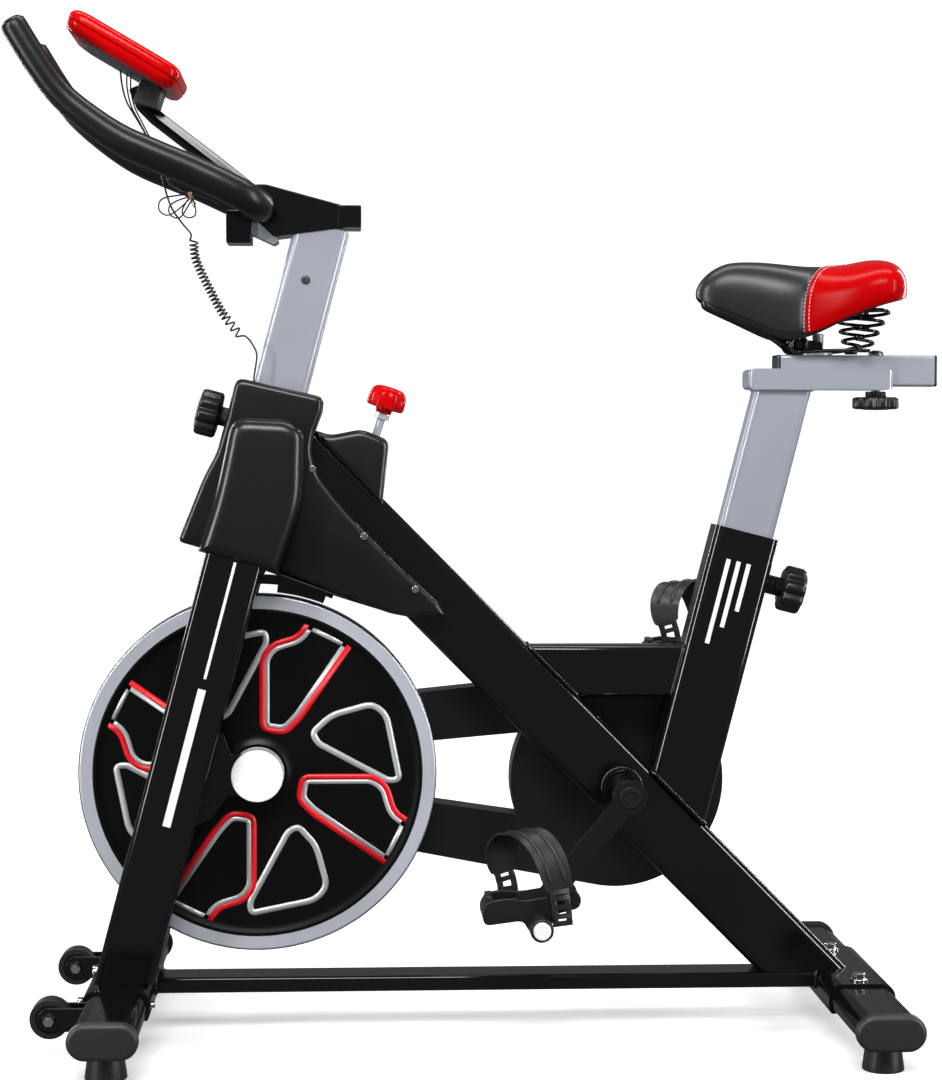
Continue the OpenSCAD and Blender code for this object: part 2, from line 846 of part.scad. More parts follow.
// Steel bar and the folded bracket that joins it to the post
module handlebar() {
    color("#141416")
    union() {
        sweep(full_bar, bar_d / 2, 12);
        difference() {
            slab_y(-25, 25) polygon([
                [-262, 945], [-255, 968], [-241, 971], [-161, 939], [-149, 924], [-152, 905],
                [-232, 913]]);
            slab_y(-22, 22) polygon([
                [-258, 930], [-230, 960], [-166, 934], [-154, 915], [-160, 890], [-240, 905]]);
            at_mast() bar(bar_post_w, bar_post_y, 8, 700, post_top);
        }
        difference() {
            slab_y(-14, 14) polygon([
                [-287, 905], [-287, 941], [-132, 947], [-132, 920], [-255, 905]]);
            at_mast() bar(bar_post_w, bar_post_y, 8, 700, post_top);
        }
    }
}

module console_arm() {
    color("#161618")
    difference() {
        sweep([[-262, 0, 966], [-300, 0, 996], [-340, 0, 1026], [-366, 0, 1046], [-380, 0, 1060],
            [-388, 0, 1080]], 9, 12);
        sweep(full_bar, bar_d / 2, 12);
        slab_y(-25, 25) polygon([
            [-262, 945], [-255, 968], [-241, 971], [-161, 939], [-149, 924], [-232, 913]]);
        at_console() translate([-100, -100, -console_t / 2]) cube([200, 200, 60]);
    }
}

module console_slab(z0, z1, inset) {
    linear_extrude(z1 - z0) round_rect(console_len - inset, console_w - inset, 22);
}

module console_back() {
    color("#b01018")
    at_console() translate([0, 0, -console_t / 2]) difference() {
        console_slab(0, 11, 10);
        translate([0, 0, 2.5]) console_slab(0, 9, 16);
    }
}

module console_front() {
    color("#d4141c")
    at_console() translate([0, 0, -console_t / 2 + 11]) difference() {
        console_slab(0, console_t - 11, 0);
        translate([0, 0, -1]) linear_extrude(console_t - 13) round_rect(console_len - 6, console_w - 6, 19);
        translate([40, 0, 0]) cylinder(h = 40, r = 9 + gap);
    }
}

module console_button() {
    color("#2a2a2e")
    at_console() translate([40, 0, console_t / 2 - 6]) cylinder(h = 7.5, r = 9);
}

// Three sensor leads from the console to the tie under the grip
module console_leads() {
    color("#151515") sweep(curve(lead_points, 2), 3, 8, [0.1, 1, 0]);
}

// Curly cord from the tie to the cover, with its tail
module curly_cord() {
    color("#151515") {
        sweep(curve(coil_points, 2), 5, 10, [0.1, 1, 0]);
        sweep(curve(tail_points, 2), 3, 8, [0.1, 1, 0]);
    }
}

// ---------- seat group ----------

module seat_post() {
    color("#a7adb5")
    difference() {
        union() {
            difference() {
                at_seat() tube(seat_post_w, seat_post_y, 8, 2.5, -170, 220);
                translate([200, -100, chan_z]) cube([400, 200, 200]);
                at_seat() for (i = [0 : 6])
                    translate([0, 0, seat_pin_t - 60 + i * 20]) rod_x(6, 0, 60);
            }
            intersection() {
                translate([(chan_x0 + chan_x1) / 2, 0, chan_z])
                    linear_extrude(chan_h) round_rect(chan_x1 - chan_x0, chan_y, 6);
                slab_y(-chan_y, chan_y) translate([(chan_x0 + chan_x1) / 2, chan_z + chan_h / 2])
                    round_rect(chan_x1 - chan_x0, chan_h, 7);
            }
        }
        translate([chan_x0 - 20, -rail_y / 2 - gap, rail_z - gap])
            cube([chan_x1 - chan_x0 + 40, rail_y + 2 * gap, 60]);
        translate([clamp_x, 0, chan_z - 5]) cylinder(h = 30, r = 5 + fit);
    }
}

module seat_rail() {
    rail_x1 = rail_x0 + rail_len;
    color("#a7adb5")
    difference() {
        translate([0, 0, rail_z + rail_h / 2]) rotate([0, 90, 0])
            tube(rail_h, rail_y, 4, 2.5, rail_x0, rail_x1);
        translate([clamp_x, 0, rail_z - 1]) linear_extrude(rail_h + 2) union() {
            square([90, 13], center = true);
            translate([-45, 0]) circle(6.5);
            translate([45, 0]) circle(6.5);
        }
    }
}

// Pillar and side plates that carry the saddle
module saddle_clamp() {
    top = rail_z + rail_h;
    color("#8d9096")
    translate([pillar_x, 0, top]) {
        cylinder(h = 3, r = 17);
        cylinder(h = 13, r = 11);
        translate([-27, 0, 11.5]) rod_y(5, -28, 28);
        for (s = [-1, 1]) translate([-33, s * 14 - 2, 3]) cube([36, 4, 14]);
    }
}

module saddle_base() {
    color("#151517")
    hull() {
        translate([276, 0, 846]) cylinder(h = 8, r = 14, $fn = 32);
        translate([352, 0, 808]) cylinder(h = 10, r = 42, $fn = 32);
        for (s = [-1, 1]) translate([440, s * 44, 836]) cylinder(h = 8, r = 38, $fn = 32);
        translate([430, 0, 824]) cylinder(h = 8, r = 36, $fn = 32);
    }
}

module saddle_cushion() {
    color("#232326")
    difference() {
        hull() {
            translate([278, 0, 856]) cylinder(h = 12, r = 24, $fn = 32);
            translate([300, 0, 872]) cylinder(h = 10, r = 26, $fn = 32);
            translate([360, 0, 818]) cylinder(h = 62, r = 50, $fn = 32);
            for (s = [-1, 1]) translate([445, s * 50, 846]) cylinder(h = 34, r = 48, $fn = 32);
            for (s = [-1, 1]) translate([442, s * 46, 850]) cylinder(h = 40, r = 34, $fn = 32);
        }
        hull() {
            translate([276, 0, 830]) cylinder(h = 24 + gap, r = 14 + gap, $fn = 32);
            translate([352, 0, 790]) cylinder(h = 28 + gap, r = 42 + gap, $fn = 32);
            for (s = [-1, 1]) translate([440, s * 44, 810]) cylinder(h = 34 + gap, r = 38 + gap, $fn = 32);
        }
    }
}

// Two conical coil springs at the rear and the front torsion coil, as plain envelopes
module saddle_springs() {
    color("#141416") {
        for (s = [-1, 1]) translate([436, s * 34, 783]) cylinder(h = 33, r1 = 11, r2 = 17);
        for (s = [-1, 1]) translate([pillar_x - 27, 0, rail_z + rail_h + 11.5]) difference() {
            rod_y(9.5, s * 22 - 5, s * 22 + 5);
            rod_y(5.5, -40, 40);
        }
    }
}

// ---------- knobs and brake ----------

module front_knob() {
    face = -tube_w / 2 - 12;
    color("#1b1b1d")
    at_mast() translate([face - 1, 0, front_pin_s]) rotate([0, -90, 0]) {
        cylinder(h = 8, r = 9);
        translate([0, 0, 6]) fluted_knob(knob_d, 26, 10);
        translate([0, 0, 31.9]) cylinder(h = 3, r1 = 18, r2 = 14);
        translate([0, 0, -19.5]) cylinder(h = 20, r = 6);
    }
}

module seat_knob() {
    face = tube_w / 2 + 10;
    color("#1b1b1d")
    at_seat() translate([face + 1, 0, seat_pin_t]) rotate([0, 90, 0]) {
        cylinder(h = 10, r = 9);
        translate([0, 0, 9]) fluted_knob(knob_d, 26, 10);
        translate([0, 0, 34.9]) cylinder(h = 3, r1 = 18, r2 = 14);
        translate([0, 0, -16.5]) cylinder(h = 17, r = 6);
    }
}

module rail_knob() {
    color("#1b1b1d")
    translate([clamp_x, 0, 0]) {
        translate([0, 0, 716]) cylinder(h = 69, r = 5);
        translate([0, 0, 729]) cylinder(h = 9, r = 11);
        translate([0, 0, 717]) fluted_knob(knob_d, 12, 10);
        translate([0, 0, rail_z + rail_h + gap]) cylinder(h = 5.5, r = 9);
    }
}

module brake_rod() {
    color("#c9ccd2")
    at_brake() {
        translate([0, 0, -181]) cylinder(h = 216, r = brake_rod_r);
        translate([0, 0, 20]) cylinder(h = 6, d = 18, $fn = 6);
    }
}

module brake_knob() {
    color("#d4141c")
    at_brake() difference() {
        union() {
            translate([0, 0, 27]) cylinder(h = 9, r = 10);
            translate([0, 0, 34]) fluted_knob(44, 20, 8);
            translate([0, 0, 53.9]) cylinder(h = 4, r1 = 18, r2 = 12);
        }
        cylinder(h = 35 + gap, r = brake_rod_r + fit);
    }
}

// Sector of a ring around the flywheel axis, from angle a0 to a1 behind the vertical
module ring_sector(r0, r1, a0, a1) {
    intersection() {
        difference() {
            circle(r1);
            circle(r0);
        }
        polygon([[0, 0], 400 * [sin(a0), cos(a0)], 400 * [sin(a1), cos(a1)]]);
    }
}

module brake_arm() {
    rim = fly_d / 2;
    color("#8d9096")
    difference() {
        union() {
            at_fly() slab_y(-12, 12) ring_sector(rim + 12, rim + 22, -1, 23, $fn = 120);
            at_fly() slab_y(-15, 15) ring_sector(rim + 3.4, rim + 12.1, 6, 21, $fn = 120);
            translate([arm_pivot_x, 0, arm_pivot_z]) rod_y(10, -12, 12);
        }
        translate([arm_pivot_x, 0, arm_pivot_z]) rod_y(5 + fit, -20, 20);
    }
}

fork_leg(-1);  // fork_leg_left
fork_leg(1);  // fork_leg_right
head_sleeve();
diagonal_tube();
seat_tube();
brace_tube();
base_bar();
stabilizer_saddles();
stabilizer_tubes();
stabilizer_end_caps();
frame_fasteners();
wheel_brackets();
bearings();
axle_caps();
front_cover(-1);  // front_cover_left
front_cover(1);  // front_cover_right
brake_housing();
belt_guard_inner();
belt_guard_outer();
drive_belt();
post_bushings();
flywheel();
flywheel_shaft();
small_pulley();
crank_spindle();
crank_arm(-1);  // crank_left
crank_arm(1);  // crank_right
drive_pulley();
pedal_spindles();
pedal(-1);  // pedal_left
pedal(1);  // pedal_right
strap(-1);  // strap_left
strap(1);  // strap_right
handlebar_post();
handlebar();
handlebar_grips();
console_arm();
console_back();
console_front();
console_button();
console_leads();
curly_cord();
seat_post();
seat_rail();
saddle_clamp();
saddle_base();
saddle_cushion();
saddle_springs();
front_knob();
seat_knob();
rail_knob();
brake_rod();
brake_knob();
brake_arm();
transport_wheel(-1);  // transport_wheel_left
transport_wheel(1);  // transport_wheel_right
foot(front_x, -foot_y);  // foot_front_left
foot(front_x, foot_y);  // foot_front_right
foot(rear_x, -foot_y);  // foot_rear_left
foot(rear_x, foot_y);  // foot_rear_right
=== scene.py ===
"""Looks of the indoor spin bike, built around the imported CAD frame. Metres, +X to the saddle, +Z up."""
import json
import math

import bmesh
import bpy
from mathutils import Matrix, Vector


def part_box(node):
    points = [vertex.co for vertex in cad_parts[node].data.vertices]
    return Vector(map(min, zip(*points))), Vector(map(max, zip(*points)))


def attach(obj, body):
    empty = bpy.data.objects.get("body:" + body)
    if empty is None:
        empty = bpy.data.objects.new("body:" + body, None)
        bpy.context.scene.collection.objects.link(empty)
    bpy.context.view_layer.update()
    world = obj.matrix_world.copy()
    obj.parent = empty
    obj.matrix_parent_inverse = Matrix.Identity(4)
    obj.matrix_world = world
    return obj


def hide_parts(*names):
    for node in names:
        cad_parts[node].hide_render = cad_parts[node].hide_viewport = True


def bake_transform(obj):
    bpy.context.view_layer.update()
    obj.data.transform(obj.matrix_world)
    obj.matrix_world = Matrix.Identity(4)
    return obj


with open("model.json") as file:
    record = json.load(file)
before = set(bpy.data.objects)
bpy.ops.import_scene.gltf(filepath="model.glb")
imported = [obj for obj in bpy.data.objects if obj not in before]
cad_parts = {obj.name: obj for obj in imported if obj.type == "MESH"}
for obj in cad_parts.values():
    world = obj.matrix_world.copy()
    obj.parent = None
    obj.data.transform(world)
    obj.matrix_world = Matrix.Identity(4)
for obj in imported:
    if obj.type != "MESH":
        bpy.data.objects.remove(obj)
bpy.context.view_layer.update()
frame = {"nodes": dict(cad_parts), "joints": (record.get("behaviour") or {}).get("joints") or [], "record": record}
JOINTS = {joint["name"]: joint for joint in frame["joints"]}
SLOT_OF = {row["node"]: row["material_slot"] for row in frame["record"]["subparts"]}
LEFT, RIGHT = -1, 1
SIDES = ((LEFT, "left"), (RIGHT, "right"))
MM = 0.001


def leaning_way(degrees):
    """A direction in the machine's middle plane that leans back from upright."""
    return Vector((math.sin(math.radians(degrees)), 0, math.cos(math.radians(degrees))))


def behind(way):
    """The direction square to way, to its rear."""
    return Vector((way.z, 0, -way.x))


# Lines of the frame that several pieces share
MAST_FOOT, MAST_WAY = Vector((-0.4005, 0, 0.068)), leaning_way(14.65)
SEAT_TOP, SEAT_WAY = Vector((0.311, 0, 0.5753)), leaning_way(14.3)
BRAKE_TOP, BRAKE_WAY = Vector((-0.1164, 0, 0.6857)), leaning_way(17.6)
DIAGONAL_WAY = leaning_way(-44.7)
CRANK = Vector(JOINTS["crank_spin"]["pos_m"])
CRANK.y = 0


# ---------- camera, light and floor ----------

# Half width of the floor and radius of the backdrop, in millimetres
STUDIO = 14000


def add_camera():
    """A long lens on the machine's left, level with its middle."""
    place = Matrix.Translation((-0.147, -2.7, 0.684))
    yaw = Matrix.Rotation(math.radians(-2.977), 4, "Z")
    tilt = Matrix.Rotation(math.radians(90 - 2.505), 4, "X")
    roll = Matrix.Rotation(math.radians(0.13), 4, "Z")
    data = bpy.data.cameras.new("camera")
    data.lens = 78.26
    data.sensor_width = 36
    camera = bpy.data.objects.new("camera", data)
    camera.matrix_world = place @ yaw @ tilt @ roll
    bpy.context.scene.collection.objects.link(camera)
    bpy.context.scene.camera = camera


def add_softbox(name, place, aim, size, power):
    """A flat light at place that faces aim."""
    data = bpy.data.lights.new(name, "AREA")
    data.shape = "RECTANGLE"
    data.size, data.size_y = size
    data.energy = power
    light = bpy.data.objects.new(name, data)
    light.location = place
    light.rotation_euler = (Vector(aim) - Vector(place)).to_track_quat("-Z", "Y").to_euler()
    bpy.context.scene.collection.objects.link(light)


def fade_glow(material, near, far):
    """Glow that grows with the distance from the origin. near and far are (metres, strength)."""
    tree = material.node_tree
    where = add_node(tree, "ShaderNodeTexCoord").outputs["Object"]
    away = add_node(tree, "ShaderNodeVectorMath", {0: where}, operation="LENGTH").outputs["Value"]
    reach = {"From Min": near[0], "From Max": far[0], "To Min": near[1], "To Max": far[1]}
    ramp = add_node(tree, "ShaderNodeMapRange", {"Value": away, **reach})
    feed(tree, tree.nodes["Principled BSDF"], {"Emission Strength": ramp.outputs["Result"]})


def add_studio():
    """Pale floor and backdrop, one large soft light from above and narrow ones for the edges."""
    bpy.context.scene.view_settings.view_transform = "Standard"
    # Name, place, size, power
    softboxes = [("key_light", (-0.5, -3.1, 3.3), (2.4, 1.1), 135),
                 ("top_light", (0.0, 0.3, 3.2), (3.0, 0.5), 48)]
    for side in (LEFT, RIGHT):
        softboxes += [(f"edge_light_{side}", (side * 2.5, -1.5, 1.1), (0.24, 2.4), 62),
                      (f"rim_light_{side}", (side * 2.3, 2.0, 1.3), (0.24, 2.4), 44)]
    for name, place, size, power in softboxes:
        add_softbox(name, place, (0, 0, 0.55), size, power)
    world = bpy.data.worlds.new("studio")
    world.use_nodes = True
    surround = world.node_tree.nodes["Background"]
    surround.inputs["Color"].default_value = (0.150, 0.153, 0.160, 1)
    bpy.context.scene.world = world
    corners = rectangle(2 * STUDIO, 2 * STUDIO)
    floor = Shape().add(([Vector((p.x, p.y, 0)) * MM for p in corners], [[0, 1, 2, 3]]))
    white = paint("floor_white", (0.92, 0.92, 0.92), 0.8, shift=0.0)
    fade_glow(white, (1.0, 0.28), (3.4, 0.97))
    ground = floor.stage("floor", white)
    ground.visible_diffuse = ground.visible_glossy = False
    dome = Shape().add(lathe([(STUDIO, -1000), (STUDIO, 7000), (STUDIO * 0.7, 11000), (0, 12000)], 64))
    far = dome.stage("backdrop", paint("backdrop_white", (0.98, 0.98, 0.98), 0.9, shift=0.0, glow=1.0))
    far.visible_diffuse = far.visible_glossy = far.visible_shadow = False


# ---------- materials ----------

def paint(name, color, rough, grain=(300, 0.0, 0.04), metal=0.0, coat=0.0, shift=0.12, gloss=0.5, glow=0.0,
          brushed=False, cells=False):
    """A procedural material. grain is (scale per metre, bump in mm, change of roughness)."""
    material = bpy.data.materials.new(name)
    material.use_nodes = True
    tree = material.node_tree
    scale, depth, change = grain
    look = {"Metallic": metal, "Coat Weight": coat, "Coat Roughness": 0.05, "Specular IOR Level": gloss,
            "Emission Color": (*color, 1), "Emission Strength": glow}
    where = add_node(tree, "ShaderNodeTexCoord").outputs["Object"]
    source = where
    if brushed:
        stretch = add_node(tree, "ShaderNodeMapping", {"Scale": (1, 0.04, 1), "Vector": where})
        source = stretch.outputs["Vector"]
    if cells:
        texture = add_node(tree, "ShaderNodeTexVoronoi", feature="DISTANCE_TO_EDGE")
    else:
        texture = add_node(tree, "ShaderNodeTexNoise", {"Detail": 4})
    feed(tree, texture, {"Scale": scale, "Vector": source})
    if depth:
        height = texture.outputs["Distance" if cells else "Fac"]
        bump = add_node(tree, "ShaderNodeBump", {"Strength": 0.6, "Distance": depth * MM, "Height": height})
        look["Normal"] = bump.outputs["Normal"]
    cloud = add_node(tree, "ShaderNodeTexNoise", {"Scale": 9, "Detail": 5, "Vector": where}).outputs["Fac"]
    limits = {"To Min": max(rough - change, 0.02), "To Max": rough + change}
    look["Roughness"] = add_node(tree, "ShaderNodeMapRange", {"Value": cloud, **limits}).outputs["Result"]
    darker, lighter = ([min(c * (1 + step), 1) for c in color] for step in (-shift, shift))
    tone = add_node(tree, "ShaderNodeMix", data_type="RGBA")
    feed(tree, tone, {"A": (*darker, 1), "B": (*lighter, 1), "Factor": cloud})
    look["Base Color"] = tone.outputs["Result"]
    feed(tree, tree.nodes["Principled BSDF"], look)
    return material


def add_node(tree, kind, inputs=None, **settings):
    """A shader node with its settings and its inputs."""
    node = tree.nodes.new(kind)
    for name, value in settings.items():
        setattr(node, name, value)
    feed(tree, node, inputs or {})
    return node


def feed(tree, node, inputs):
    """Fills inputs by name or number, each with a value or with a link from an output."""
    for name, value in inputs.items():
        if isinstance(value, bpy.types.NodeSocket):
            tree.links.new(value, node.inputs[name])
        else:
            node.inputs[name].default_value = value


PAINTS = {
    "frame_paint": paint("gloss_black", (0.0030, 0.0030, 0.0034), 0.13, (1400, 0.02, 0.03)),
    "silver_paint": paint("silver_grey", (0.36, 0.38, 0.435), 0.30, (2600, 0.03, 0.05), metal=0.30),
    "cover_plastic": paint("satin_black", (0.0050, 0.0050, 0.0054), 0.30, (1500, 0.04, 0.05)),
    "matte_plastic": paint("matte_black", (0.0065, 0.0065, 0.0070), 0.36, (1100, 0.06, 0.06), gloss=0.45),
    "rubber": paint("black_rubber", (0.0090, 0.0090, 0.0095), 0.46, (900, 0.08, 0.06), gloss=0.45),
    "foam": paint("black_foam", (0.0050, 0.0050, 0.0056), 0.34, (900, 0.015, 0.05), gloss=0.34, cells=True),
    "chrome": paint("bright_chrome", (0.70, 0.71, 0.73), 0.10, (500, 0.01, 0.05), metal=1.0),
    "steel": paint("ground_steel", (0.50, 0.51, 0.53), 0.30, (900, 0.02, 0.08), metal=1.0, brushed=True),
    "dark_steel": paint("dark_steel", (0.16, 0.16, 0.17), 0.34, (700, 0.02, 0.08), metal=1.0),
    "white_plastic": paint("white_plastic", (0.84, 0.84, 0.83), 0.35, (600, 0.02, 0.05), shift=0.03),
    "red_plastic": paint("gloss_red", (0.50, 0.0010, 0.0015), 0.16, (500, 0.005, 0.04), gloss=0.12),
    "cap_plastic": paint("cap_plastic", (0.015, 0.015, 0.017), 0.46, (1100, 0.06, 0.06), gloss=0.55),
    "dark_plastic": paint("dark_grey_plastic", (0.045, 0.045, 0.05), 0.42, (1300, 0.06, 0.06)),
    "charcoal_vinyl": paint("charcoal_vinyl", (0.014, 0.014, 0.0165), 0.34, (620, 0.05, 0.06), gloss=0.40,
                            cells=True),
    "red_vinyl": paint("red_vinyl", (0.44, 0.0008, 0.0012), 0.22, (620, 0.01, 0.05), gloss=0.07, cells=True),
    "thread": paint("white_thread", (0.55, 0.55, 0.54), 0.60, (3000, 0.05, 0.05)),
    "ring_silver": paint("machined_rim", (0.60, 0.62, 0.68), 0.34, (1200, 0.02, 0.06), metal=0.45),
    "face_black": paint("flywheel_black", (0.0015, 0.0015, 0.0017), 0.34, (900, 0.01, 0.04), gloss=0.20),
    "mark_silver": paint("graphic_silver", (0.50, 0.52, 0.52), 0.32, (60, 0.0, 0.06), metal=0.4, shift=0.35),
    "mark_red": paint("graphic_red", (0.72, 0.006, 0.015), 0.32, (60, 0.0, 0.04), shift=0.06),
    "cord_jacket": paint("cord_jacket", (0.010, 0.010, 0.011), 0.38, (1800, 0.02, 0.05)),
    "tan_tie": paint("tan_tie", (0.42, 0.30, 0.17), 0.55, (1500, 0.04, 0.05)),
    "display": paint("display_glass", (0.10, 0.115, 0.10), 0.10, (200, 0.0, 0.02), coat=0.8),
}
# The paint of each slot
NODE_PAINT = {
    "frame_paint": "frame_paint", "end_cap_plastic": "matte_plastic", "foot_rubber": "rubber",
    "bolt_steel": "chrome", "bearing_steel": "steel", "shaft_steel": "steel", "spindle_steel": "chrome",
    "cap_white": "white_plastic", "cover_plastic": "cover_plastic", "guard_plastic": "matte_plastic",
    "belt_rubber": "rubber", "bushing_plastic": "matte_plastic", "flywheel_iron": "ring_silver",
    "pulley_steel": "steel", "pulley_plastic": "matte_plastic", "crank_paint": "cover_plastic",
    "pedal_plastic": "matte_plastic", "strap_rubber": "rubber", "post_silver": "silver_paint",
    "handlebar_paint": "frame_paint", "grip_foam": "foam", "console_red": "red_plastic",
    "console_dark": "dark_plastic", "button_plastic": "dark_plastic", "cord_rubber": "cord_jacket",
    "saddle_vinyl": "charcoal_vinyl", "saddle_plastic": "matte_plastic", "spring_steel": "frame_paint",
    "clamp_steel": "dark_steel", "knob_black": "matte_plastic", "rod_chrome": "ring_silver",
    "knob_red": "red_plastic", "arm_steel": "frame_paint", "wheel_rubber": "rubber",
}
# Width of the softened edges by slot, in millimetres; 0.4 elsewhere
EDGE_MM = {
    "frame_paint": 1.0, "end_cap_plastic": 3.0, "post_silver": 3.0, "cover_plastic": 2.5,
    "guard_plastic": 3.0,
    "knob_black": 0.8, "knob_red": 1.0, "pedal_plastic": 1.5, "strap_rubber": 0.8, "crank_paint": 1.5,
    "bolt_steel": 0.5, "cap_white": 1.0, "foot_rubber": 1.5, "wheel_rubber": 1.5, "flywheel_iron": 0.8,
}


def dress_cad_nodes():
    """Materials and softened edges for every node that the CAD model carries over."""
    for node, obj in frame["nodes"].items():
        slot = SLOT_OF[node]
        obj.data.materials.clear()
        obj.data.materials.append(PAINTS[NODE_PAINT[slot]])
        soften(obj, EDGE_MM.get(slot, 0.4) * MM)


def soften(obj, width, angle=32):
    """Rounds the sharp edges, after the coplanar triangles are joined."""
    weld = obj.modifiers.new("weld", "WELD")
    weld.merge_threshold = 0.02 * MM
    flat = obj.modifiers.new("flat", "DECIMATE")
    flat.decimate_type = "DISSOLVE"
    flat.angle_limit = math.radians(0.6)
    bevel = obj.modifiers.new("bevel", "BEVEL")
    bevel.width = width
    bevel.segments = 3
    bevel.limit_method = "ANGLE"
    bevel.angle_limit = math.radians(angle)
    bevel.harden_normals = True


# ---------- shapes ----------

class Shape:
    """Points and faces gathered for one piece, with a material for each face."""

    def __init__(self):
        self.points = []
        self.faces = []
        self.tints = []

    def add(self, made, place=None, tint=0):
        points, faces = made
        start = len(self.points)
        self.points += [place @ Vector(p) if place else Vector(p) for p in points]
        self.faces += [[start + i for i in face] for face in faces]
        self.tints += [tint] * len(faces)
        return self

    def make(self, name, materials):
        """The mesh object, linked to the scene."""
        mesh = bpy.data.meshes.new(name)
        mesh.from_pydata(self.points, [], self.faces)
        for material in materials:
            mesh.materials.append(material)
        mesh.polygons.foreach_set("material_index", self.tints)
        obj = bpy.data.objects.new(name, mesh)
        bpy.context.scene.collection.objects.link(obj)
        return obj

    def piece(self, name, body, paints, slot, sharp=None):
        """Makes the shape a piece that rides on body. paints is one name or a list of them."""
        obj = self.make(name, [PAINTS[p] for p in (paints if isinstance(paints, list) else [paints])])
        obj.data.validate()
        obj.data.polygons.foreach_set("use_smooth", [True] * len(obj.data.polygons))
        if sharp:
            obj.data.set_sharp_from_angle(angle=math.radians(sharp))
        if body:
            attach(obj, body)
        return obj

    def stage(self, name, material):
        """Makes the shape a plain object with one material, for the floor or the backdrop."""
        obj = self.make(name, [material])
        return obj


def rings(rows, caps=True):
    """Loops of points, each joined to the next, with a face over each end."""
    n = len(rows[0])
    last = (len(rows) - 1) * n
    sides = [(k, (k + 1) % n) for k in range(n)]
    faces = [[i + k, i + m, i + n + m, i + n + k] for i in range(0, last, n) for k, m in sides]
    if caps:
        faces += [list(range(n))[::-1], [last + k for k in range(n)]]
    return [p for row in rows for p in row], faces


def spline(points, steps):
    """Points of a Catmull-Rom curve through the given ones."""
    p = [Vector(q) for q in points]
    made = []
    for i in range(len(p) - 1):
        a, b, c, d = p[max(i - 1, 0)], p[i], p[i + 1], p[min(i + 2, len(p) - 1)]
        for j in range(steps):
            t = j / steps
            made.append(0.5 * (2 * b + (c - a) * t + (2 * a - 5 * b + 4 * c - d) * t * t
                               + (3 * b - a - 3 * c + d) * t ** 3))
    return made + [p[-1]]


def frames_along(points):
    """A side and an up direction at each point, carried along without twist."""
    last = len(points) - 1
    ways = [(points[min(i + 1, last)] - points[max(i - 1, 0)]).normalized() for i in range(last + 1)]
    side = ways[0].orthogonal().normalized()
    made = []
    for way in ways:
        side = (side - way * side.dot(way)).normalized()
        made.append((side, way.cross(side)))
    return made


def tube(points, radius, sides=12, closed_ends=True):
    """A round tube along points. radius is one number or one for each point."""
    radii = radius if isinstance(radius, list) else [radius] * len(points)
    angles = [2 * math.pi * k / sides for k in range(sides)]
    rows = [[p + r * (math.cos(a) * side + math.sin(a) * up) for a in angles]
            for p, r, (side, up) in zip(points, radii, frames_along(points))]
    return rings(rows, closed_ends)


def rectangle(width, depth, x=0, y=0):
    """The corners of a rectangle around x and y, anticlockwise."""
    return [Vector((x + i * width / 2, y + k * depth / 2)) for i, k in ((-1, -1), (1, -1), (1, 1), (-1, 1))]


def rounded(points, radius, steps=5, closed=True):
    """An outline with its corners rounded. radius is one number or one for each corner."""
    p = [Vector(q) for q in points]
    radii = radius if isinstance(radius, list) else [radius] * len(p)
    made = []
    for i, corner in enumerate(p):
        if not closed and i in (0, len(p) - 1):
            made.append(corner)
            continue
        before, after = p[i - 1] - corner, p[(i + 1) % len(p)] - corner
        reach = min(radii[i], before.length * 0.48, after.length * 0.48)
        a, b = corner + before.normalized() * reach, corner + after.normalized() * reach
        made += [(1 - t) ** 2 * a + 2 * t * (1 - t) * corner + t * t * b
                 for t in (j / steps for j in range(steps + 1))]
    return made


def prism(outline, z0, z1):
    """A flat outline, given as x and y in millimetres, made solid from z0 to z1."""
    return rings([[Vector((p[0], p[1], z)) * MM for p in outline] for z in (z0, z1)])


def block(size, centre, radius=0.0):
    """A box in millimetres, whose upright corners are rounded."""
    x, y, z = centre
    corners = rectangle(size[0], size[1], x, y)
    return prism(rounded(corners, radius, 3) if radius else corners, z - size[2] / 2, z + size[2] / 2)


def lathe(profile, n=48, closed=False):
    """Points (radius, height) in millimetres, turned round the Z axis. A radius of 0 closes the form."""
    points, faces, rows = [], [], []
    for r, h in profile:
        if r == 0:
            rows.append([len(points)] * n)
            points.append((0, 0, h * MM))
            continue
        rows.append(list(range(len(points), len(points) + n)))
        for a in (2 * math.pi * k / n for k in range(n)):
            points.append((r * MM * math.cos(a), r * MM * math.sin(a), h * MM))
    for low, up in zip(rows, rows[1:] + (rows[:1] if closed else [])):
        for k in range(n):
            face = [low[k], low[(k + 1) % n], up[(k + 1) % n], up[k]]
            faces.append(list(dict.fromkeys(face)))
    return points, faces


def band(line, width, z0, z1, closed=True):
    """A flat raised band that follows a line in the x-y plane, in millimetres."""
    n = len(line)
    sides = []
    for i in range(n):
        before = line[i - 1] if closed or i else line[i]
        after = line[(i + 1) % n] if closed or i < n - 1 else line[i]
        way = (after - before).normalized()
        out = Vector((-way.y, way.x)) * width / 2
        sides.append((line[i] + out, line[i] - out))
    points = [Vector((p.x, p.y, z)) * MM for z in (z0, z1) for pair in sides for p in pair]
    faces = []
    for i in range(n if closed else n - 1):
        a, b, up = 2 * i, 2 * ((i + 1) % n), 2 * n
        faces += [[up + a, up + b, up + b + 1, up + a + 1][::-1], [a, b, up + b, up + a][::-1],
                  [a + 1, up + a + 1, up + b + 1, b + 1][::-1], [a, a + 1, b + 1, b][::-1]]
    if not closed:
        e = 2 * (n - 1)
        faces += [[0, 1, 2 * n + 1, 2 * n], [e, 2 * n + e, 2 * n + e + 1, e + 1]]
    return points, faces


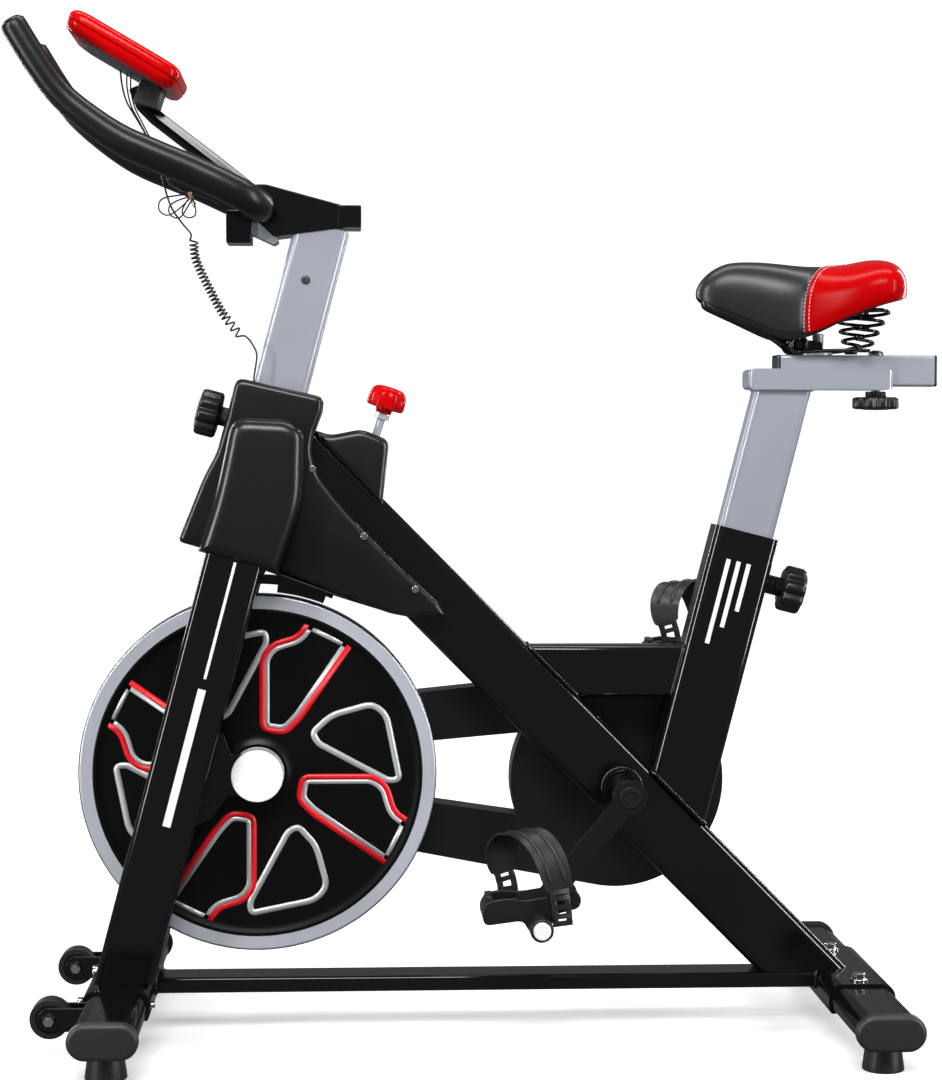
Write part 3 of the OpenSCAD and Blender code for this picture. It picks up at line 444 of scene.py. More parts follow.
def offset_line(line, distance):
    """A closed line moved to its left by distance."""
    made = []
    for i, p in enumerate(line):
        way = (line[(i + 1) % len(line)] - line[i - 1]).normalized()
        made.append(p + Vector((-way.y, way.x)) * distance)
    return made


def strip(line, across, profile, scale=None):
    """A flat bar swept along line. across is its width direction, profile its (across, up) outline.
    scale changes its width at each point."""
    rows = []
    for i, p in enumerate(line):
        wide, up = strip_frame(line, i, across)
        rows.append([p + wide * a * (scale[i] if scale else 1) + up * b for a, b in profile])
    return rings(rows)


def strip_frame(line, i, across):
    """The width direction of a strap at one of its points, and the direction out of its face."""
    way = (line[min(i + 1, len(line) - 1)] - line[max(i - 1, 0)]).normalized()
    wide = (across - way * across.dot(way)).normalized()
    return wide, way.cross(wide)


def leaning(origin, axis):
    """A frame at origin with its Z along axis and its X in the machine's middle plane."""
    up = Vector(axis).normalized()
    side = Vector((0, 1, 0))
    turn = Matrix((side.cross(up), side, up)).transposed()
    return Matrix.Translation(origin) @ turn.to_4x4()


def outward(origin, side):
    """A frame at origin that faces outwards on one side of the machine, with its Y up."""
    turn = Matrix(((-side, 0, 0), (0, 0, 1), (0, side, 0))).transposed()
    return Matrix.Translation(origin) @ turn.to_4x4()


def shoulder(gap, radius):
    """The rise of a quarter-round edge at a distance from where it starts, from 0 to 1."""
    t = min(max(gap / radius, 0), 1)
    return math.sqrt(max(1 - (1 - t) ** 2, 0))


# ---------- cords ----------

LEAD_D = 1.8 * MM
CURLY_D = 2.2 * MM
CURLY_OUTER = 11 * MM
# Turns over the whole length of the coil, if all of it were wound as in its upper or its lower part
CLOSE_RATE, OPEN_RATE = 29.0, 15.5
# Where along the coil it opens and over what share, and over what share it winds up and unwinds at its ends
OPENS_AT, OPENS_OVER, WINDS_OVER, UNWINDS_OVER = 0.69, 0.10, 0.07, 0.12
TIE = Vector((-0.323, -0.057, 0.952))
COIL_ROUTE = [(-0.320, -0.056, 0.907), (-0.319, -0.052, 0.886), (-0.311, -0.048, 0.865),
              (-0.301, -0.044, 0.845), (-0.291, -0.041, 0.826), (-0.281, -0.039, 0.812),
              (-0.270, -0.038, 0.799), (-0.263, -0.037, 0.791)]
TAIL_ROUTE = [(-0.262, -0.037, 0.790), (-0.255, -0.037, 0.788), (-0.251, -0.038, 0.778),
              (-0.252, -0.038, 0.764), (-0.254, -0.038, 0.752), (-0.254, -0.038, 0.745)]
LEAD_ROUTE = [(-0.396, -0.012, 1.094), (-0.396, -0.013, 1.078), (-0.392, -0.015, 1.058),
              (-0.383, -0.025, 1.040), (-0.371, -0.038, 1.018), (-0.359, -0.048, 0.998),
              (-0.351, -0.055, 0.978), (-0.346, -0.058, 0.965), (-0.335, -0.058, 0.957)]
# Upper lead of the curly cord, from the coil's top to the console
UPPER_ROUTE = [(-0.321, -0.056, 0.914), (-0.333, -0.058, 0.922), (-0.345, -0.060, 0.940),
               (-0.353, -0.061, 0.966), (-0.358, -0.057, 0.986), (-0.367, -0.047, 1.008),
               (-0.379, -0.033, 1.030), (-0.390, -0.020, 1.048), (-0.398, -0.013, 1.062),
               (-0.403, -0.011, 1.080), (-0.405, -0.011, 1.098)]
# Far point and half width of each loop of spare lead, from the tie, across and down
LOOPS = [((-0.035, -0.016), 0.009), ((-0.022, -0.022), 0.008), ((-0.003, -0.024), 0.007)]
LOOPS_OF_LEAD = [(0, 1), (2,)]
LOOP_PITCH = 2.2 * MM
# The second lead goes on into the front end of the handlebar
INTO_BAR = [(-0.308, -0.050, 0.950), (-0.294, -0.036, 0.945), (-0.283, -0.024, 0.938)]


def line_length(points):
    """The length along points."""
    return sum((b - a).length for a, b in zip(points, points[1:]))


def ease(t):
    """A step from 0 to 1 with soft ends."""
    t = min(max(t, 0), 1)
    return t * t * (3 - 2 * t)


def curly_line():
    """Centreline of the curly cord: upper lead, close turns, open turns, then the tail into the cover."""
    core = spline(COIL_ROUTE, 60)
    total = line_length(core)
    radius = (CURLY_OUTER - CURLY_D) / 2
    coil, turn, t, before = [], 0.0, 0.0, core[0]
    for p, (side, up) in zip(core, frames_along(core)):
        step = (p - before).length / total
        t, before = t + step, p
        rate = CLOSE_RATE + (OPEN_RATE - CLOSE_RATE) * ease((t - OPENS_AT) / OPENS_OVER)
        turn += rate * step * ease(t / WINDS_OVER) * ease((1 - t) / UNWINDS_OVER)
        a = 2 * math.pi * turn
        coil.append(p + radius * (math.cos(a) * side + math.sin(a) * up))
    ends = []
    for first, second, route in ((coil[0], coil[2], UPPER_ROUTE[1:]), (coil[-1], coil[-3], TAIL_ROUTE[2:])):
        way = (first - second).normalized()
        ends.append(spline([first, first + way * 4 * MM] + route, 6)[1:])
    return ends[0][::-1] + coil + ends[1]


def loop_at(number):
    """A loop of spare lead that leaves the tie and comes back to it."""
    far, half = LOOPS[number]
    aside = (number - 1) * LOOP_PITCH
    across = Vector((far[0], aside, far[1]))
    wide = Vector((-far[1], 0, far[0])).normalized() * half
    return [TIE + across * 0.5 + wide * 0.9, TIE + across * 0.85 + wide, TIE + across,
            TIE + across * 0.85 - wide, TIE + across * 0.5 - wide * 0.9, TIE + Vector((0.001, aside, 0))]


def add_cords():
    """The curly lead, the two console leads with their spare loops, and the tie that holds them."""
    line = curly_line()
    cord = Shape().add(tube(line, CURLY_D / 2, 8)).piece("curly_lead", None, "cord_jacket", "cord_rubber")
    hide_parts("curly_cord")
    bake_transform(cord)
    for i, loops in enumerate(LOOPS_OF_LEAD):
        spread = Vector(((i - 0.3) * 4.5, (i - 0.5) * 2.4, 0)) * MM
        last = len(LEAD_ROUTE) - 1
        route = [Vector(p) + spread * max(1 - k / last, 0.4) for k, p in enumerate(LEAD_ROUTE)] + [TIE]
        for number in loops:
            route += loop_at(number)
        if i == 1:
            route += INTO_BAR
        line = spline(route, 6)
        lead = Shape().add(tube(line, LEAD_D / 2, 8))
        lead = lead.piece(f"lead_{i + 1}", "handlebar", "cord_jacket", "cord_rubber")
        if i == 0:
            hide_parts("console_leads")
    place = Matrix.Translation(TIE) @ Matrix.Rotation(math.radians(70), 4, "Y")
    ring = [(2.6, -2.2), (4.3, -2.0), (4.7, 0), (4.3, 2.0), (2.6, 2.2)]
    tie = Shape().add(lathe(ring, 24, closed=True), place)
    for twist in (-1, 1):
        end = [Vector(p) * MM for p in ((4, 0, 0), (9, 2 * twist, 2 * twist), (13, 4 * twist, -1))]
        tie.add(tube([place @ p for p in end], 0.7 * MM, 8))
    tie.piece("cable_tie", "handlebar", "tan_tie", "cord_rubber", sharp=50)


# ---------- flywheel ----------

HUB = Vector(JOINTS["flywheel_spin"]["pos_m"])
# How far out the face plates lie, and how far their marks stand up from them, in millimetres
FACE_Y = 15.5
MARK_TOP = 0.35
# Outlines in millimetres from the hub, seen from the left
WINDOW = [(58, 173), (46, 156), (16, 147), (5, 132), (5, 50), (31, 46), (47, 62), (107, 149)]
TRIANGLE = [(62, 46), (84, 66), (131, 79), (147, 66), (162, -8), (150, -10), (68, 34)]


def add_flywheel_faces():
    """Black face plates with four framed windows and four framed triangles on each side."""
    lip = [(31, 12), (31, 20.3), (34, 19.2), (38, 16.2), (44, FACE_Y), (176, FACE_Y), (181, 16.3),
           (184, 18.2), (187.2, 18.9), (188.4, 18.1), (188.4, 12)]
    window = [Vector(p) for p in WINDOW]
    inner = offset_line(rounded(window, [2] + [9] * 6 + [2], 6), 5.6)
    triangle = rounded([Vector(p) for p in TRIANGLE], 10, 6)
    # Line, width, height over the face, closed or not, tint: 0 is red and 1 silver
    marks = [(rounded(window, 9, 6, closed=False), 6.4, MARK_TOP + 0.1, False, 0),
             (inner, 5.2, MARK_TOP, True, 1), (triangle, 7.0, MARK_TOP, True, 1)]
    for side, name in SIDES:
        place = outward(HUB, side)
        plate = Shape().add(lathe(lip, 160, closed=True), place)
        plate.piece(f"flywheel_face_{name}", "flywheel", "face_black", "flywheel_iron")
        graphics = Shape()
        for quarter in range(4):
            turn = place @ Matrix.Rotation(math.radians(90 * quarter), 4, "Z")
            for line, width, top, closed, tint in marks:
                graphics.add(band(line, width, FACE_Y - 1, FACE_Y + top, closed), turn, tint)
        tints = ["mark_red", "mark_silver"]
        graphics.piece(f"flywheel_graphics_{name}", "flywheel", tints, "flywheel_iron")


# ---------- saddle ----------

# Along the saddle, nose first, in millimetres: x, top, lower edge of the cover, half width
SADDLE = [(254, 852, 849, 0), (256, 857, 844, 8), (260, 864, 840, 14), (270, 874, 835, 20),
          (288, 883, 828, 25), (315, 885, 816, 31), (338, 884, 806, 38), (358, 882, 802, 46),
          (378, 880, 804, 57), (398, 880, 812, 70), (414, 881, 820, 81), (429, 884, 827, 90),
          (445, 887, 833, 96), (459, 887, 837, 97), (471, 884, 840, 88), (479, 877, 842, 72),
          (484, 867, 844, 50), (486, 859, 848, 26), (487, 854, 851, 0)]
# Steps from the ridge down to each lower edge
SADDLE_SIDE = 22
# How far the cover tucks in under its widest line, and how high that line lies between edge and top
TUCK, WAIST = 0.45, 0.30
ROUND_ACROSS, ROUND_UP = 0.82, 0.80
# The shallow channel along the rear: depth, half width, where it starts and over what length it fades in
CHANNEL, CHANNEL_HALF, CHANNEL_X, CHANNEL_FADE = 3.5, 17, 395, 60
# How far inside the outline the cover starts, which leaves room for its crowns; its groove and its thickness
COVER_IN, GROOVE_MM, COVER_T = 1.0, 1.8, 2.5
STITCH_PITCH = 4.2 * MM
STITCH_R = 0.45 * MM
# Height of the line from which the stitches are cast onto the cover, in metres
SADDLE_AXIS = 0.835
CLOTH_FRAMES = 18
CLOTH_REACH = 3.5 * MM


def between(rows, x):
    """The row at x, on a smooth curve through the given rows."""
    x = min(max(x, rows[0][0]), rows[-1][0])
    for i in range(len(rows) - 1):
        if x <= rows[i + 1][0]:
            break
    a, b, c, d = (rows[min(max(i + k, 0), len(rows) - 1)] for k in (-1, 0, 1, 2))
    t = (x - b[0]) / (c[0] - b[0])
    made = []
    for k in range(1, len(b)):
        m0 = (c[k] - a[k]) / max(c[0] - a[0], 1e-6) * (c[0] - b[0])
        m1 = (d[k] - b[k]) / max(d[0] - b[0], 1e-6) * (c[0] - b[0])
        made.append((2 * t ** 3 - 3 * t ** 2 + 1) * b[k] + (t ** 3 - 2 * t ** 2 + t) * m0
                    + (3 * t ** 2 - 2 * t ** 3) * c[k] + (t ** 3 - t ** 2) * m1)
    return made


def seam_x(v):
    """Where the seam between the two vinyls runs, from the ridge (v 0) to the lower edge (v 1 or -1)."""
    a = abs(v)
    return 432 - 81 * a ** 0.5 + 22 * a ** 3


def saddle_point(x, v):
    """A point of the saddle's cover. v goes from -1 at the left lower edge over the top to 1."""
    top, edge, half = between(SADDLE, x)
    angle = v * (math.pi / 2 + TUCK)
    waist = edge + WAIST * (top - edge)
    s, c = math.sin(angle), math.cos(angle)
    y = max(half, 0) * math.copysign(abs(s) ** ROUND_ACROSS, s)
    if c >= 0:
        z = waist + (top - waist) * c ** ROUND_UP
    else:
        z = waist + (waist - edge) * c / math.sin(TUCK)
    rear = min(max((x - CHANNEL_X) / CHANNEL_FADE, 0), 1)
    z -= CHANNEL * rear * math.exp(-(y / CHANNEL_HALF) ** 2) * max(c, 0)
    return Vector((x, y, z)) * MM - Vector((0, s, c)) * COVER_IN * MM


SADDLE_FRONT_ROWS, SADDLE_REAR_ROWS = 24, 22
# Distances in millimetres from the seam's row to the second and the first row on each side of it
BESIDE_SEAM, NEXT_TO_SEAM = 7, 3


def saddle_xs(seam):
    """Places from nose to tail along one line of the cover, closer together at its ends and at the seam."""
    nose, tail = SADDLE[0][0] + 0.3, SADDLE[-1][0] - 0.2
    front = [(i / SADDLE_FRONT_ROWS) ** 1.4 for i in range(SADDLE_FRONT_ROWS + 1)]
    rear = [1 - (1 - i / SADDLE_REAR_ROWS) ** 1.6 for i in range(SADDLE_REAR_ROWS + 1)]
    xs = [nose + (seam - BESIDE_SEAM - nose) * t for t in front]
    xs += [seam - NEXT_TO_SEAM, seam, seam + NEXT_TO_SEAM]
    return xs + [seam + BESIDE_SEAM + (tail - seam - BESIDE_SEAM) * t for t in rear]


def saddle_grid():
    """Rows of points from nose to tail, one row lying on the seam, and that row's number."""
    lines = []
    for k in range(-SADDLE_SIDE, SADDLE_SIDE + 1):
        v = k / SADDLE_SIDE
        lines.append([saddle_point(x, v) for x in saddle_xs(seam_x(v))])
    return [list(row) for row in zip(*lines)], SADDLE_FRONT_ROWS + 2


def grid_faces(rows, cols):
    """The faces between the rows of an open sheet."""
    return [[i * cols + k, (i + 1) * cols + k, (i + 1) * cols + k + 1, i * cols + k + 1][::-1]
            for i in range(rows - 1) for k in range(cols - 1)]


def add_saddle():
    """Padded vinyl cover in two colours with a sewn seam, over a black shell with wire springs."""
    rows, seam = saddle_grid()
    cols = len(rows[0])
    shape = Shape().add(([p for row in rows for p in row], grid_faces(len(rows), cols)))
    shape.tints = [0 if i < seam else 1 for i in range(len(rows) - 1) for _ in range(cols - 1)]
    cover = shape.piece("saddle_cover", "saddle", ["charcoal_vinyl", "red_vinyl"], "saddle_vinyl")
    puff(cover, rows, seam)
    sew_groove(cover, seam, cols)
    thick = cover.modifiers.new("thick", "SOLIDIFY")
    thick.thickness = COVER_T * MM
    thick.offset = -1
    smooth = cover.modifiers.new("smooth", "SUBSURF")
    smooth.levels = smooth.render_levels = 1
    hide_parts("saddle_cushion")
    add_stitches(cover, seam, cols)
    add_saddle_shell()
    add_springs()
    add_pillar()


def puff(cover, rows, seam):
    """Cloth under pressure, held at the lower edge and along the seam, so that each panel crowns."""
    cols = len(rows[0])
    held = [i * cols + k for i in range(len(rows)) for k in range(cols)
            if k in (0, cols - 1) or i in (0, len(rows) - 1) or i == seam]
    group = cover.vertex_groups.new(name="held")
    group.add(held, 1.0, "REPLACE")
    start = [v.co.copy() for v in cover.data.vertices]
    cloth = cover.modifiers.new("cloth", "CLOTH")
    cloth.settings.quality = 6
    cloth.settings.mass = 0.4
    cloth.settings.tension_stiffness = cloth.settings.compression_stiffness = 30
    cloth.settings.shear_stiffness = 20
    cloth.settings.bending_stiffness = 4
    cloth.settings.vertex_group_mass = "held"
    cloth.settings.use_pressure = True
    cloth.settings.uniform_pressure_force = 3
    cloth.settings.effector_weights.gravity = 0
    cloth.point_cache.frame_end = CLOTH_FRAMES + 2
    scene = bpy.context.scene
    for number in range(1, CLOTH_FRAMES + 1):
        scene.frame_set(number)
    graph = bpy.context.evaluated_depsgraph_get()
    moved = [v.co.copy() for v in cover.evaluated_get(graph).data.vertices]
    cover.modifiers.clear()
    scene.frame_set(1)
    for vertex, a, b in zip(cover.data.vertices, start, moved):
        step = b - a
        vertex.co = a + step * min(1, CLOTH_REACH / max(step.length, 1e-9))
    cover.data.update()


def sew_groove(cover, seam, cols):
    """Draws the seam's row in, and its neighbours a little."""
    normals = [v.normal.copy() for v in cover.data.vertices]
    for i, depth in ((seam - 1, 0.1), (seam, 1.0), (seam + 1, 0.1)):
        for k in range(cols):
            n = i * cols + k
            cover.data.vertices[n].co -= normals[n] * GROOVE_MM * depth * MM
    cover.data.update()


def add_stitches(cover, seam, cols):
    """Two rows of short white stitches, one on each side of the seam."""
    points = [v.co.copy() for v in cover.data.vertices]
    bpy.context.view_layer.update()
    surface = cover.evaluated_get(bpy.context.evaluated_depsgraph_get())
    thread = Shape()
    for row in (-1, 1):
        line = [points[seam * cols + k].lerp(points[(seam + row) * cols + k], 0.85) for k in range(cols)]
        fine = spline(line, 10)
        along, next_stitch = 0.0, 0.0
        for i in range(1, len(fine) - 2):
            along += (fine[i] - fine[i - 1]).length
            if along < next_stitch:
                continue
            next_stitch += STITCH_PITCH
            out = Vector((0, fine[i].y, fine[i].z - SADDLE_AXIS)).normalized()
            hit, spot, up, _ = surface.ray_cast(fine[i] + out * 0.01, -out)
            if not hit:
                continue
            way = (fine[i + 1] - fine[i - 1]).normalized() * STITCH_PITCH * 0.34
            dip, lift = up * 0.5 * MM, up * 0.3 * MM
            ends = [spot - way - dip, spot - way * 0.6 + lift, spot + way * 0.6 + lift, spot + way - dip]
            thread.add(tube(ends, STITCH_R, 6))
    thread.piece("saddle_stitches", "saddle", "thread", "saddle_vinyl")


SHELL_XS = (258, 266, 280, 300, 322, 340, 356, 372, 390, 410, 430, 450, 464, 474, 480, 483)
# How far the shell hangs below the cover, where and how fast that lessens to the rear, and its wall
SHELL_DROP, SHELL_DROP_REAR, SHELL_RISES_AT, SHELL_RISE, SHELL_WALL = 7.5, 2.0, 360, 0.12, 7


def add_saddle_shell():
    """The moulded shell under the cover: a rim that shows below the vinyl, and an underside that rises into the
    middle.
    """
    rows = []
    for x in SHELL_XS:
        _, edge, half = between(SADDLE, x)
        rim = half * 0.90
        rise = max(x - SHELL_RISES_AT, 0) * SHELL_RISE
        low = edge - max(SHELL_DROP - rise, SHELL_DROP_REAR)
        inner = max(rim - SHELL_WALL, rim * 0.55)
        near = [(rim, edge + 4), (rim + 0.6, edge), (rim - 1.5, low), (inner, low + 1),
                (inner * 0.9, edge + 6)]
        far = [(-y, z) for y, z in near[::-1]]
        rows.append([(x, y, z) for y, z in near + [(0, edge + 8)] + far + [(0, edge + 9)]])
    shell = Shape().add(rings([[Vector(p) * MM for p in row] for row in rows]))
    shell = shell.piece("saddle_shell", "saddle", "matte_plastic", "saddle_plastic")
    smooth = shell.modifiers.new("smooth", "SUBSURF")
    smooth.levels = smooth.render_levels = 2
    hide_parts("saddle_base")


RAIL_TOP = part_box("seat_rail")[1].z
WIRE_D = 4.2 * MM
SPRING_TURNS, SPRING_R, SPRING_GROWS = 3.7, 7.5, 15
TORSION_TURNS, TORSION_R, TORSION_PITCH = 3, 9.0, 4.6
STEPS_PER_TURN = 26


def add_springs():
    """Two conical rear springs, each wire running forward into a torsion coil and up to the nose."""
    wires = Shape()
    for side in (LEFT, RIGHT):
        cone, coil = [], []
        foot, head = Vector((0.441, side * 0.034, 0.786)), Vector((0.447, side * 0.040, 0.829))
        for i in range(int(SPRING_TURNS * STEPS_PER_TURN) + 1):
            t = i / (SPRING_TURNS * STEPS_PER_TURN)
            a = 2 * math.pi * SPRING_TURNS * t * side + math.pi
            r = (SPRING_R + SPRING_GROWS * t) * MM
            cone.append(foot.lerp(head, t) + Vector((r * math.cos(a), r * math.sin(a), 0)))
        middle = Vector((0.368, side * 0.022, 0.7915))
        for i in range(TORSION_TURNS * STEPS_PER_TURN + 1):
            turn = i / STEPS_PER_TURN
            a = 2 * math.pi * turn - math.pi / 2
            aside = side * (turn - TORSION_TURNS / 2) * TORSION_PITCH
            coil.append(middle + Vector((TORSION_R * math.cos(a), aside, TORSION_R * math.sin(a))) * MM)
        run = [cone[0], (0.420, side * 0.033, 0.7845), (0.398, side * 0.030, 0.784),
               coil[-1] + Vector((0.008, 0, 0)), coil[-1]]
        nose = [coil[0], coil[0] + Vector((-0.006, 0, 0.002)), (0.345, side * 0.012, 0.797),
                (0.318, side * 0.008, 0.812), (0.295, side * 0.005, 0.824)]
        for line in (cone, spline(run, 6), coil, spline(nose, 6)):
            wires.add(tube(line, WIRE_D / 2, 10))
        lower_seat = lathe([(0, 0), (7, 0), (8, 2), (8, 4), (0, 4)], 24)
        upper_seat = lathe([(0, 0), (16, 0), (17, 1.5), (15, 4), (0, 4)], 32)
        wires.add(lower_seat, Matrix.Translation(foot - Vector((0, 0, 0.004))))
        wires.add(upper_seat, Matrix.Translation(head - Vector((0, 0, 0.001))))
    obj = wires.piece("saddle_spring_wires", None, "frame_paint", "spring_steel")
    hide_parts("saddle_springs")
    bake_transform(obj)


def add_pillar():
    """Chrome pillar on the rail, with the cheeks and pin that hold the front coil."""
    place = Matrix.Translation((0.395, 0, RAIL_TOP))
    profile = [(0, 0), (17, 0), (17, 2), (16, 3), (9.5, 3.2), (8, 6), (6.5, 9), (6.5, 24), (5.5, 25),
               (0, 25)]
    pillar = Shape().add(lathe(profile, 48), place)
    cheek = [(-34, 4), (-36, 12), (-30, 19), (-22, 18), (2, 15), (2, 3), (-26, 3)]
    for y in (-16, 12):
        pillar.add(slab_y(cheek, 4, y, y + 4), place, 1)
    pin = [(0, -28), (4.4, -28), (5, -27), (5, 27), (4.4, 28), (0, 28)]
    across = Matrix.Translation((-0.027, 0, 0.0115)) @ Matrix.Rotation(math.radians(90), 4, "X")
    pillar.add(lathe(pin, 28), place @ across, 1)
    obj = pillar.piece("saddle_pillar", "rail", ["ring_silver", "frame_paint"], "clamp_steel", sharp=35)
    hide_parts("saddle_clamp")


# ---------- front cover ----------

# Side view, in millimetres: the top edge first, then down the front, along the bottom and back up
COVER = [(-176, 729), (-274, 751), (-284, 708), (-296, 667), (-312, 636), (-340, 566), (-305, 556),
         (-275, 544), (-245, 536), (-228, 530), (-165, 507), (-101, 484), (-79, 480), (-36, 481),
         (-46, 497), (-90, 538), (-133, 581), (-165, 618), (-183, 642), (-190, 668), (-186, 690),
         (-177, 714)]
COVER_ROUND = [11, 11, 6, 6, 8, 7, 4, 4, 4, 4, 6, 6, 4, 5, 4, 5, 5, 6, 12, 12, 6, 5]
BLISTER = [(-278, 706), (-214, 703), (-197, 690), (-199, 610), (-227, 530), (-316, 556), (-298, 612),
           (-287, 660)]
BLISTER_ROUND = [18, 14, 16, 24, 1, 1, 24, 24]
BRAKE_BOX = [(-186, 692), (-186, 682), (-109, 605), (-101, 680), (-117, 687), (-133, 693), (-168, 686)]
BRAKE_BOX_ROUND = [5, 1, 1, 9, 6, 8, 8]
CREASE = (Vector((-202, 604)), Vector((-80, 486)))
COVER_Y, BLISTER_Y, BRAKE_BOX_Y = 50, 76, 26
COVER_WALL = 2.4
# Radius of the rounded edge of each moulding
COVER_EDGE, BLISTER_EDGE, BRAKE_BOX_EDGE = 7, 15, 8
# Depths where the walls end: at the middle plane, beside the post, over the flywheel and inside the blister
AT_MIDDLE, BESIDE_POST, OVER_WHEEL, IN_BLISTER = 0.3, 27.5, 36, 34
# Where the walls keep clear: below and ahead of the flywheel's limits, above and beside the post's
WHEEL_Z, WHEEL_X, POST_Z, POST_HALF = 575, -60, 712, 40
# The lower panel's slope from its crease, and where it starts behind the fork legs
PANEL_SLOPE, PANEL_X = 0.30, -262
# Quarter-round edge: how far in and how far down from the face, as shares of its radius
ROUND_EDGE = [(0, 1), (0.06, 0.66), (0.2, 0.4), (0.4, 0.2), (0.68, 0.05), (1, 0)]


def inset(corners, distance):
    """The corners of an anticlockwise polygon moved in by distance, with mitred corners."""
    made = []
    for i, p in enumerate(corners):
        a, b = (p - corners[i - 1]).normalized(), (corners[(i + 1) % len(corners)] - p).normalized()
        left_a, left_b = Vector((-a.y, a.x)), Vector((-b.y, b.x))
        middle = (left_a + left_b).normalized()
        made.append(p + middle * distance / max(middle.dot(left_a), 0.3))
    return made


def moulded(corners, rounds, face_y, edge, root):
    """A moulded face with a rounded edge, as nested loops of (x, depth, z). root(x, z) is the wall's end."""
    polygon = [Vector(p) for p in corners]
    area = sum(a.x * b.y - b.x * a.y for a, b in zip(polygon, polygon[1:] + polygon[:1]))
    if area < 0:
        polygon.reverse()
        rounds = rounds[::-1]
    rows = [[(p.x, root(p.x, p.y), p.y) for p in rounded(polygon, rounds, 4)]]
    for share, drop in ROUND_EDGE:
        loop = rounded(inset(polygon, share * edge), [max(r - share * edge * 0.5, 1) for r in rounds], 4)
        rows.append([(p.x, face_y - drop * edge, p.y) for p in loop])
    return rows


def panel_drop(x, z):
    """How far the lower panel has sloped inwards from the crease, behind the fork legs."""
    a, b = CREASE
    way = (b - a).normalized()
    away = (x - a.x) * way.y - (z - a.y) * way.x
    return PANEL_SLOPE * away if away > 0 and x > PANEL_X else 0.0


def one_side(rows, side, extra=(), caps=None):
    """Nested loops joined on one side of the machine. The last is closed by caps, or else by one face."""
    points, faces = rings(rows, caps=False)
    faces += caps or [list(range(len(points) - len(rows[0]), len(points)))]
    points = [Vector((x, side * y, z)) * MM for x, y, z in points + list(extra)]
    return points, faces if side < 0 else [face[::-1] for face in faces]


def cover_root(x, z):
    """The wall runs to the middle plane, but stays clear of the post above and the flywheel below."""
    from_post = (Vector((x, 0, z)) * MM - MAST_FOOT).dot(behind(MAST_WAY)) / MM
    if z < WHEEL_Z and x < WHEEL_X:
        return OVER_WHEEL
    if z > POST_Z and abs(from_post) < POST_HALF:
        return BESIDE_POST
    return AT_MIDDLE


def creased_caps(rows):
    """The point where a cover's crease starts, and the two faces that close the cover below and above it."""
    last, n = rows[-1], len(rows[-1])
    first = (len(rows) - 1) * n
    lower = [k for k in range(n) if panel_drop(last[k][0], last[k][2]) > 0]
    start = next(k for k in lower if (k - 1) % n not in lower)
    run = [first + (start + k) % n for k in range(len(lower))]
    rest = [first + (start + k) % n for k in range(len(lower), n)]
    top = len(rows) * n
    return (CREASE[0].x, COVER_Y, CREASE[0].y), [run + [rest[0], top], rest + [run[0], top]]


def add_covers():
    """Two moulded shells that meet in the middle plane and bulge over the fork legs."""
    for side, name in SIDES:
        rows = moulded(COVER, COVER_ROUND, COVER_Y, COVER_EDGE, cover_root)
        rows[1:] = [[(x, y - panel_drop(x, z), z) for x, y, z in row] for row in rows[1:]]
        crease_top, caps = creased_caps(rows)
        shell = Shape().add(one_side(rows, side, [crease_top], caps))
        cover = shell.piece(f"cover_shell_{name}", "frame", "cover_plastic", "cover_plastic", sharp=24)
        thicken(cover)
        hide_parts(f"front_cover_{name}")
        rows = moulded(BLISTER, BLISTER_ROUND, BLISTER_Y, BLISTER_EDGE, lambda x, z: IN_BLISTER)
        hood = Shape().add(one_side(rows, side))
        thicken(hood.piece(f"cover_hood_{name}", "frame", "cover_plastic", "cover_plastic", sharp=40))
    box = Shape()
    for side in (LEFT, RIGHT):
        rows = moulded(BRAKE_BOX, BRAKE_BOX_ROUND, BRAKE_BOX_Y, BRAKE_BOX_EDGE, lambda x, z: 0)
        box.add(one_side(rows, side))
    housing = box.piece("brake_box", "frame", "cover_plastic", "cover_plastic", sharp=40)
    weld_points(housing, 0.01)
    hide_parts("brake_housing")
    add_cover_screws()


def thicken(obj):
    """Gives a cover its wall, inwards."""
    wall = obj.modifiers.new("wall", "SOLIDIFY")
    wall.thickness = COVER_WALL * MM
    wall.offset = -1


def weld_points(obj, distance):
    """Joins points closer than distance, in millimetres."""
    form = bmesh.new()
    form.from_mesh(obj.data)
    bmesh.ops.remove_doubles(form, verts=form.verts, dist=distance * MM)
    bmesh.ops.recalc_face_normals(form, faces=form.faces)
    form.to_mesh(obj.data)
    form.free()


def add_cover_screws():
    """Three small cross-head screws on each cover, each in a shallow dish."""
    screws = Shape()
    dish = [(0, 2.2), (1.9, 2.3), (2.4, 2.0), (3.4, 2.1), (4.0, 2.4), (4.5, 2.0), (4.8, -1.2)]
    for side in (LEFT, RIGHT):
        for x, z in ((-190, 647), (-130, 573), (-72, 513)):
            place = outward(Vector((x * MM, side * (COVER_Y + 0.1) * MM, z * MM)), side)
            screws.add(lathe(dish[::-1], 28), place, 0)
            screws.add(block((2.8, 0.7, 0.5), (0, 0, 2.3)), place, 1)
            screws.add(block((0.7, 2.8, 0.5), (0, 0, 2.3)), place, 1)
    screws.piece("cover_screws", "frame", ["cover_plastic", "steel"], "bolt_steel")


# ---------- knobs ----------

def lobed(profile, lobes, n):
    """Rows of (radius, height, depth of the flutes) in millimetres, turned round Z."""
    rows = []
    angles = [2 * math.pi * k / n for k in range(n)]
    for r, h, flute in profile:
        spokes = [(a, r - flute * (0.5 + 0.5 * math.cos(lobes * a)) ** 2) for a in angles]
        rows.append([Vector((radius * math.cos(a), radius * math.sin(a), h)) * MM for a, radius in spokes])
    return rings(rows)


